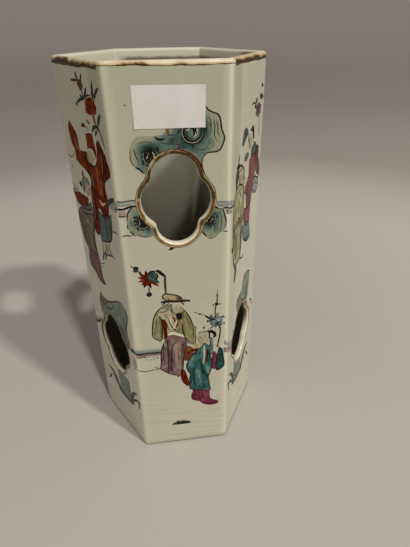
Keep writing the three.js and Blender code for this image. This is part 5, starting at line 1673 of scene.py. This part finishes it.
def lady(wall, name, robe, skirt, **placed):
    figure = Painting(wall, **placed)
    figure.shape(LEAF_ENAMEL, [(-5.4, 181, 1), (-3.6, 172), (1, 167.6), (7, 165), (13.4, 166.6, 1),
        (11.6, 172), (9.4, 179.4, 1), (2, 181)], 0.1,
        pools=[(0, 168.6, 12, 165.6, 1.6, 0.5), (-4, 175, 1.6, 0.25)],
        fine=[[(1, 180), (2.6, 170)], [(6, 179), (7.6, 168)]])
    figure.shape(skirt, [(-3.4, 193.4, 1), (-3.6, 186), (-1.6, 180.6, 1), (4, 178.6), (9.6, 179.4, 1),
        (10.2, 187), (10, 193.6, 1), (3, 192)], 0.42,
        pools=[(-1.6, 189, -0.6, 182, 1.4, 0.25), (5, 187, 2.4, -0.12)],
        folds=[[(-3, 193), (3, 191.4), (9.6, 192.4)]], fine=[[(3, 191), (3.4, 181)]])
    figure.shape(robe, [(4.6, 224, 1), (4.2, 216), (3.6, 212), (-1, 208.6), (-3.6, 205.6, 1), (0, 201),
        (0.6, 197), (1.4, 192.4, 1), (6, 191.4), (11, 193, 1), (12.4, 198), (14.6, 203), (16.6, 208),
        (18.6, 212, 1), (17.6, 218), (18.4, 225, 1), (11, 226)], 0.35, pools=[(2, 206, 7, 195, 3.0, 0.35),
        (12, 219, 3.4, -0.16), (8, 213, 10, 202, 1.8, 0.16), (15.6, 221, 1.4, 0.2)],
        folds=[[(8, 223), (7, 214), (8.8, 205), (7.6, 196)], [(13.6, 222), (14.2, 214), (12.6, 206)]],
        fine=[[(4.6, 207), (4, 200)], [(10.8, 216), (11.6, 208)]], width=0.5, rise=0.11)
    figure.shape(MAROON_ENAMEL, [(18.6, 226, 1), (24.6, 228.6, 1), (25, 221), (28, 217), (30, 212),
        (29.6, 206.4, 1), (25, 209), (20.6, 212.4, 1), (19, 219)], 0.48,
        pools=[(24, 211, 28.6, 208, 1.6, 0.35), (21, 222, 1.6, 0.2)],
        folds=[[(22.6, 226), (22.4, 219), (25.6, 212.6)]], width=0.5)
    figure.shape(SLATE_ENAMEL, [(14.4, 208.6, 1), (20, 208.4), (28.4, 205.4, 1), (27.6, 200), (24.4, 196.6),
        (17, 198), (14, 201, 1)], 0.3, pools=[(22, 199, 2.4, 0.2)],
        folds=[[(19.4, 210), (24, 206.6), (29, 205.8)], [(17, 204), (22, 203.4), (28, 201)]],
        fine=[[(16, 200), (21, 198)], [(18.6, 206), (22, 205.4)]])
    figure.wash(LEAF_ENAMEL,
        [(-7.6, 227.4), (-4.4, 230), (-0.4, 230.4), (2.6, 228.4), (0.6, 226), (-4, 225)], 0.3)
    figure.shape(LEAF_ENAMEL, [(7.6, 230, 1), (11, 231.4), (16.6, 232.4, 1), (18.6, 229), (17.6, 225, 1),
        (12, 224.4), (8, 225.4, 1)], 0.35, fine=[[(10.6, 230.6), (11, 225.4)]])
    figure.shape(INK, [(18.6, 230, 1), (21, 229.6), (24.4, 226, 1), (22.6, 224.6), (19.6, 226)], 0.3)
    figure.wash(FLESH_WASH,
        [(0.4, 213.6), (3.4, 212.6), (1.6, 209.6), (-3.4, 206.6), (-4.6, 208.6), (-2, 211.6)], 0.05)
    figure.lines(INK, [[(3.4, 213.6), (0, 210.6), (-4.8, 206.8)], [(-4, 205), (0, 202.4)],
        [(11, 234.4), (14, 233), (17.6, 232.4)]], 0.6, 0.6)
    head(figure, (4.9, 236.4), (7.4, 8.8), -1, 4)
    figure.wash(INK, [(2.6, 242.8), (5.4, 243.6), (8.4, 245), (11, 244), (12.4, 240.6), (12.8, 236.2),
        (11.2, 235.6), (9.6, 237.8), (8.4, 240.6), (6, 241.8)], 1.0, rise=0.12)
    figure.line(INK, [(0.2, 239.6), (0.8, 237.4), (1.6, 234.6)], 0.9, 0.6)
    figure.wash(LEAF_ENAMEL, [(-13, 237.6), (-9.6, 236), (-6.4, 238.4), (-1.4, 241), (-1, 243.6),
        (-6.4, 245.8), (-9.8, 244.4), (-11, 241)], 0.3,
        pools=[(-10, 239.6, 1.6, 0.35), (-4.4, 242.6, 1.8, 0.25)])
    figure.lines(INK, [[(-12.6, 238), (-11, 241), (-9.6, 244.6), (-6, 246), (-2, 244.6)],
        [(-10.4, 240), (-7, 241), (-3, 243.4)], [(-1, 242), (1.6, 237), (2, 231)]], 0.5, 0.6)
    figure.fired(name)


def attendant(wall, name, robe, **placed):
    figure = Painting(wall, **placed)
    figure.lines(BRICK_ENAMEL, [[(-20.4, 160), (-18.6, 154), (-21, 145.6)]], 3.2, 0.9, start=0.8, end=0.6)
    figure.lines(INK, [[(-24.6, 163), (-21, 157), (-19, 151.6), (-21.4, 144.6)],
        [(-10.6, 159.6), (-7, 157.6), (-0.6, 157.2)]], 0.9, 0.55)
    figure.shape(robe, [(-21, 212.4, 1), (-24, 207), (-25.6, 199), (-26.4, 190), (-25.4, 178), (-25, 166),
        (-22, 159.4, 1), (-16, 158.4), (-9.6, 159.4, 1), (-8, 167), (-6.6, 178), (-5.6, 190), (-4.4, 200),
        (-5.6, 207), (-9.4, 212, 1), (-15, 214)], 0.35, pools=[(-22, 206, -23, 170, 2.0, 0.16),
        (-8, 184, -7, 162, 2.6, 0.14), (-16, 200, 3.4, -0.16), (-18.6, 180, -18.6, 164, 1.4, 0.4),
        (-12, 170, 2.4, -0.12)], folds=[[(-19.6, 184), (-18.4, 174), (-19, 161)],
        [(-11, 186), (-9.6, 174), (-10.4, 160)], [(-15, 209), (-12.4, 206.4), (-11, 203.6)]],
        fine=[[(-24, 200), (-23.4, 192), (-24, 176)], [(-16, 206), (-15.4, 196), (-16.4, 190)],
        [(-6.6, 204), (-7, 194), (-7.2, 186)], [(-22, 205), (-20.6, 196), (-21.4, 191)],
        [(-14.4, 204), (-13, 196)], [(-8, 206), (-8.6, 196)], [(-22.6, 184), (-22, 168), (-23, 162)],
        [(-14.6, 184), (-14, 164)], [(-8.4, 184), (-9.4, 166)], [(-17.4, 206), (-17, 194)],
        [(-11, 200), (-10.6, 191)], [(-20.6, 184), (-20.4, 166)], [(-10.6, 180), (-11, 162)]], width=0.7,
        mottle=0.3)
    figure.wash(OLIVE_ENAMEL, [(-25.4, 189, 1), (-20, 190), (-13, 190), (-6, 190.6, 1), (-6.2, 187.6, 1),
        (-13, 187.4), (-20, 186.6), (-25.2, 185.4, 1)], 0.5, rise=0.14)
    figure.lines(INK, [[(-26.6, 185), (-22, 188.8), (-15, 189.8), (-6, 192)],
        [(-24, 184.4), (-17, 187.4), (-6, 187.4)], [(-16, 192.6), (-13, 188), (-15.6, 184)],
        [(-11, 193), (-12.6, 189), (-9, 185)], [(-24, 186.8), (-22.6, 183.4), (-24.8, 176)]], 0.8, 0.8)
    figure.dab(INK, (-13, 189), (3.6, 2.6), 0.8, 20)
    figure.dab(INK, (-26, 173.2), (4.0, 4.2), 0.85)
    figure.wash(OLIVE_ENAMEL,
        [(-21.6, 225, 1), (-22, 219), (-21, 213, 1), (-19.4, 213.4), (-18.6, 219), (-17.6, 224.6, 1)], 0.6)
    figure.lines(LEAF_ENAMEL, [[(-21, 225.4), (-22.4, 219), (-22, 212), (-23, 207)],
        [(-19.8, 224.6), (-20, 218), (-21, 212)], [(-17.6, 224), (-18.4, 219.4), (-19.2, 215.6)]], 0.9, 0.95)
    figure.shape(robe,
        [(-17.6, 222, 1), (-15, 214), (-9, 211.6, 1), (-5.6, 214), (-6.6, 219), (-9, 223.6, 1)], 0.2,
        fine=[[(-15.6, 220), (-13.6, 214)], [(-8, 218), (-7, 213.6)]])
    head(figure, (-12, 218.6), (6.4, 7.8), 1)
    figure.wash(INK, [(-22, 225.6), (-19.4, 227.6), (-16.4, 227.4), (-14.8, 224.8), (-18, 224)], 1.0,
        rise=0.12)
    figure.line(INK, [(-15.6, 226), (-12.4, 225), (-8.4, 222.4), (-7.2, 219.6)], 0.9, 1.0, start=0.8,
        end=0.2)
    figure.line(INK, [(-18.4, 227), (-18, 230), (-17.4, 233)], 0.9, 0.85, end=0.4)
    figure.lines(MAROON_ENAMEL,
        [[(-6.6, 222.4), (-6.2, 217), (-7.4, 212.4)], [(-5.6, 212), (-6.8, 206), (-5.6, 200)]], 0.8, 0.6)
    figure.dab(BRICK_ENAMEL, (-7, 209), (4.0, 3.4), 0.8, 30)
    figure.fired(name)


def aubergine_spray(wall, name, flower, **placed):
    spray = Painting(wall, **placed)
    spray.line(INK, [(21.6, 248), (22.4, 242), (23, 235.6)], 0.45, 0.4)
    spray.line(INK, [(4.6, 257.6), (8.6, 258), (13, 257.2)], 0.8, 0.5, start=0.9, end=0.6)
    spray.petals(flower, (19, 252.4), [(12.6, 251), (12.4, 255.4), (17, 257.2), (22, 257), (26, 254.4),
        (26, 250), (21.4, 247.6), (16, 248)], 4.2, 0.6, waist=0.6)
    spray.dab(flower, (22.8, 253.4), (3.2, 2.8), 0.95, rise=0.14)
    for middle, size, lean in (
        ((14.6, 258.6), (4, 3.6), 20), ((12, 255.6), (4.4, 2.6), 30), ((25.4, 259.4), (9, 3.6), -6),
        ((26, 266.2), (4.4, 2.8), -10), ((22.6, 261), (3, 2.4), 0)
    ):
        spray.dab(LEAF_ENAMEL, middle, size, 0.62, lean, pools=[(*middle, 1.4, 0.2)])
    spray.fired(name)


lady("front_right", "right_lady", MAROON_ENAMEL, ROSE_ENAMEL)
attendant("front_right", "right_attendant", YELLOW_ENAMEL)
aubergine_spray("front_right", "right_aubergine_spray", AUBERGINE_ENAMEL)
rock = Painting("front_right")
rock.wash(ROCK_ENAMEL, [(-12.6, 118), (-12, 124), (-6, 126.4), (-1.6, 128.6), (0, 134.6), (5, 138.6),
    (10.6, 137.6), (16.6, 134.6), (17.6, 127), (15.6, 119), (14.6, 112), (6, 106), (-6, 108)], 0.3,
    pools=[(11, 121, 8.6, 113, 2.6, 0.35), (0, 121, 3, -0.05), (8, 130, 3.4, -0.08), (3, 123, 1.4, 0.3)],
    mottle=0.2)
rock.wash(BRICK_ENAMEL,
    [(-12.6, 117), (-12, 123.4), (-7, 125.4), (-3.4, 122), (-1, 118), (-4, 113.6), (-9, 111.6)], 0.6,
    rise=0.12)
rock.lines(INK, [[(10.6, 137.4), (14.6, 135.6), (18, 133.8)], [(-12.6, 118), (-12, 124), (-6, 126.4)],
    [(-4, 121), (1.6, 117), (8, 114.6)]], 0.8, 0.6)
rock.lines(INK, [[(0.4, 134.6), (4, 138), (8, 138)], [(12, 130), (13, 124), (12, 118)]], 0.4, 0.35)
rock.dab(INK, (25.2, 102), (6, 2.4), 0.4, -38)
rock.dab(BRICK_ENAMEL, (-19, 101), (5, 2.4), 0.4, -30)
rock.fired("right_rock_over_opening")
low_rock_foot("front_right", "right_rock_foot", tone=0.42, shift=(1.6, 8.4), flipped=True)
coping = Painting("front_right")
strip(coping, COPING_ENAMEL, [(-32.7, 209.4), (-29, 208.6), (-25, 207.4)], 3.6, 0.35)
coping.line(INK, [(-32.7, 204.6), (-29, 204), (-25, 204)], 0.9, 0.75, start=1)
strip(coping, BRICK_ENAMEL, [(-32.7, 203.4), (-30, 202.8), (-28, 202)], 2.4, 0.3)
strip(coping, COPING_ENAMEL, [(-32.7, 101.4), (-28, 98.6), (-22, 95.4)], 4.4, 0.3)
strip(coping, BRICK_ENAMEL, [(-32.7, 95), (-28, 92), (-21, 89.6)], 3.4, 0.3)
coping.lines(INK, [[(-32.7, 95.6), (-28, 92.6), (-21, 90.4)], [(26, 98), (30, 96.4), (32.7, 96)]], 0.6, 0.5)
coping.fired("right_garden_wall")


# The three walls at the back: painted with the same stock figures turned over and in other enamels, with
# the pierced rocks round their openings and a garden wall behind them, as a workshop repeats its patterns
# round a set of walls.
def garden_wall(wall, name, height, gap):
    """A tiled wall with a washed coping, a course of bricks and its foot, behind whatever stands in the
    gap."""
    low_wall = Painting(wall)
    for first, last in ((-32.7, gap[0]), (gap[1], 32.7)):
        middle = (first + last) / 2
        strip(low_wall, COPING_ENAMEL, [(first, height + 4), (middle, height + 4.2), (last, height + 3.8)],
            3.2, 0.28)
        strip(low_wall, BRICK_ENAMEL, [(first, height - 0.4), (middle, height - 0.8), (last, height - 0.4)],
            3.6, 0.35)
        low_wall.line(INK, [(first, height + 0.2), (middle, height - 0.2), (last, height + 0.4)], 1.0, 0.75,
            start=0.9, end=0.6)
        low_wall.line(INK, [(first, height - 16.6), (middle, height - 17.4), (last, height - 16.4)], 0.5,
            0.4, start=0.8)
        for i in range(4):
            spot = (middle + 2.6 * i - 4, height - 6 - 1.9 * (i % 2))
            low_wall.dab(BRICK_ENAMEL, spot, (1.9, 1.0), 0.9, lean=-8)
    low_wall.fired(name)


for wall, opening_shift in (("back_right", 2.4), ("back_left", 0)):
    placed = {"shift": (opening_shift, 0), "flipped": wall == "back_right"}
    rocks_over_opening(wall, wall + "_rocks_over_opening", **placed)
    rocks_beside_opening(wall, wall + "_rocks_beside_opening", **placed)
    garden_wall(wall, wall + "_upper_garden_wall", 208.6, (-27.6, 28.4))
    grass(wall, wall + "_grass", shift=(4, 0))
lady("back_right", "back_right_lady", OLIVE_ENAMEL, IRON_RED, shift=(1, -100), flipped=True)
attendant("back_right", "back_right_attendant", TEAL_ENAMEL, shift=(-1, -96), flipped=True)
garden_wall("back_right", "back_right_lower_garden_wall", 98.6, (-16, 26))
dancer("back_left", "back_left_dancer", AUBERGINE_ENAMEL, OCHRE_WASH, shift=(-5, -104), flipped=True)
bowing_boy("back_left", "back_left_bowing_boy", TEAL_ENAMEL, YELLOW_ENAMEL, IRON_RED, shift=(4, -98),
    flipped=True)
garden_wall("back_left", "back_left_lower_garden_wall", 98.6, (-28, 30))
scholar("back", "back_scholar", TEAL_ENAMEL, MAROON_ENAMEL, ROSE_ENAMEL, shift=(0, 97), flipped=True)
boy("back", "back_boy", YELLOW_ENAMEL, IRON_RED, shift=(0, 97), flipped=True)
rock_over_low_opening("back", "back_rock_over_opening", flipped=True)
low_rock_foot("back", "back_rock_foot", flipped=True)
garden_wall("back", "back_upper_garden_wall", 196, (-31, 16.6))
garden_wall("back", "back_lower_garden_wall", 96, (-27, 22))


# The paper label: a blank white sheet stuck on the front wall under the rim, over the rocks' top.
# It lies flat on its glue, with its corners a hair off the glaze.
PAPER = 0.09
GLUE = 0.16
CURL = 0.35
label_corners = [Vector(place) for place in ((-19.2, 252.8), (18.7, 252.3), (19.0, 273.6), (-19.3, 274.0))]
LABEL_STEPS = (26, 16)
label_points, label_faces = [], []
for side in (PAPER, 0.0):
    for j in range(LABEL_STEPS[1] + 1):
        for i in range(LABEL_STEPS[0] + 1):
            across, up = i / LABEL_STEPS[0], j / LABEL_STEPS[1]
            low = label_corners[0].lerp(label_corners[1], across)
            high = label_corners[3].lerp(label_corners[2], across)
            place = low.lerp(high, up)
            curl = (max(0, abs(across - 0.5) * 2 - 0.8) * 5) * (max(0, abs(up - 0.5) * 2 - 0.7) / 0.3)
            out = GLUE + side + CURL * curl ** 2 + 0.03 * noise.noise(Vector((*place, 5)) / 6)
            label_points.append(on_wall("front", *place, out))
row_length = LABEL_STEPS[0] + 1
sheet_count = row_length * (LABEL_STEPS[1] + 1)
for j in range(LABEL_STEPS[1]):
    for i in range(LABEL_STEPS[0]):
        corner = j * row_length + i
        quad = [corner, corner + 1, corner + row_length + 1, corner + row_length]
        label_faces += [quad, [sheet_count + k for k in quad[::-1]]]
border = list(range(row_length)) + [j * row_length + row_length - 1 for j in range(1, LABEL_STEPS[1] + 1)]
border += [sheet_count - 1 - i for i in range(1, row_length)] + [j * row_length
    for j in range(LABEL_STEPS[1] - 1, 0, -1)]
for here, there in zip(border, border[1:] + border[:1]):
    label_faces.append([here, sheet_count + here, sheet_count + there, there])
paper = Finish("white_label_paper", roughness=0.85)
fibres = paper.grain(0.35, 4, stretch=(1, 1, 0.6))
paper_cloud = paper.ramp(
    paper.grain(9, 4) * 0.6 + fibres * 0.4, [(0.3, shade(216, 210, 204)), (0.7, shade(228, 223, 218))]
)
paper.colour(paper_cloud)
paper.bump(fibres, 0.03, 0.4)
made("paper_label", label_points, label_faces, [paper])


# The floor and the light of the photograph: a pale matt sheet, painted darker away from the vase as painted
# shade and lighter again far out as painted light, and rising far out all round; two small ceiling lamps in
# front of the vase and to its right, and a weak fill from its left.
sweep = [
    (0.0, 0.0), (0.6, 0.0), (1.4, 0.0), (2.6, 0.0), (3.2, 0.03), (3.6, 0.14), (3.9, 0.38), (4.0, 0.7),
    (4.0, 1.2), (4.0, 1.9)
]
SWEEP_SIDES = 48
sweep_turns = [2 * pi * i / SWEEP_SIDES for i in range(SWEEP_SIDES)]
sweep_points = [(0, 0, 0)] + [
    (r * cos(turn), r * sin(turn), z) for r, z in sweep[1:] for turn in sweep_turns
]
sweep_faces = [(0, 1 + i, 1 + (i + 1) % SWEEP_SIDES) for i in range(SWEEP_SIDES)]
for row in range(len(sweep) - 2):
    for i in range(SWEEP_SIDES):
        near = 1 + row * SWEEP_SIDES
        j = (i + 1) % SWEEP_SIDES
        sweep_faces.append((near + i, near + SWEEP_SIDES + i, near + SWEEP_SIDES + j, near + j))
floor_mesh = bpy.data.meshes.new("floor")
floor_mesh.from_pydata(sweep_points, [], sweep_faces)
floor_mesh.shade_smooth()
floor = bpy.data.objects.new("floor", floor_mesh)
bpy.context.scene.collection.objects.link(floor)
sheet = Finish("pale_sheet", roughness=0.9)
from_middle = sheet.node(
    "ShaderNodeVectorMath", {"operation": "LENGTH"}, {0: sheet.place()}, output="Value"
)
# Painted light and shade on the floor: lighter near the vase, darker from about 0.8 to 1.8 m out, lighter far
# out.
sheet.colour(sheet.ramp(from_middle * 0.25, [(0.05, shade(190, 182, 171)), (0.12, shade(202, 194, 182)),
    (0.155, shade(199, 191, 179)), (0.21, shade(175, 166, 154)), (0.45, shade(178, 169, 158)),
    (0.65, shade(191, 183, 173)), (1.0, shade(205, 197, 187))]))
floor.data.materials.append(sheet.material)

world = bpy.data.worlds.new("room")
world.use_nodes = True
world.node_tree.nodes["Background"].inputs["Color"].default_value = (0.80, 0.79, 0.77, 1)
world.node_tree.nodes["Background"].inputs["Strength"].default_value = 0.25
bpy.context.scene.world = world


def lamp(name, azimuth, elevation, distance, size, power):
    """A square lamp that faces the middle of the vase, from its bearing and height as seen from there."""
    data = bpy.data.lights.new(name, "AREA")
    data.size = size
    data.energy = power
    data.color = (1.0, 0.98, 0.945)
    placed_lamp = bpy.data.objects.new(name, data)
    away = Vector((cos(elevation) * cos(azimuth), cos(elevation) * sin(azimuth), sin(elevation)))
    placed_lamp.location = away * distance + Vector((0, 0, HEIGHT / 2 * MM))
    placed_lamp.rotation_euler = away.to_track_quat("Z", "Y").to_euler()
    bpy.context.scene.collection.objects.link(placed_lamp)


lamp("right_lamp", radians(-47), radians(47), 3.0, 0.16, 41)
lamp("front_lamp", radians(-71), radians(56), 3.0, 0.16, 31)
lamp("fill", radians(-160), radians(25), 1.5, 1.0, 1.3)
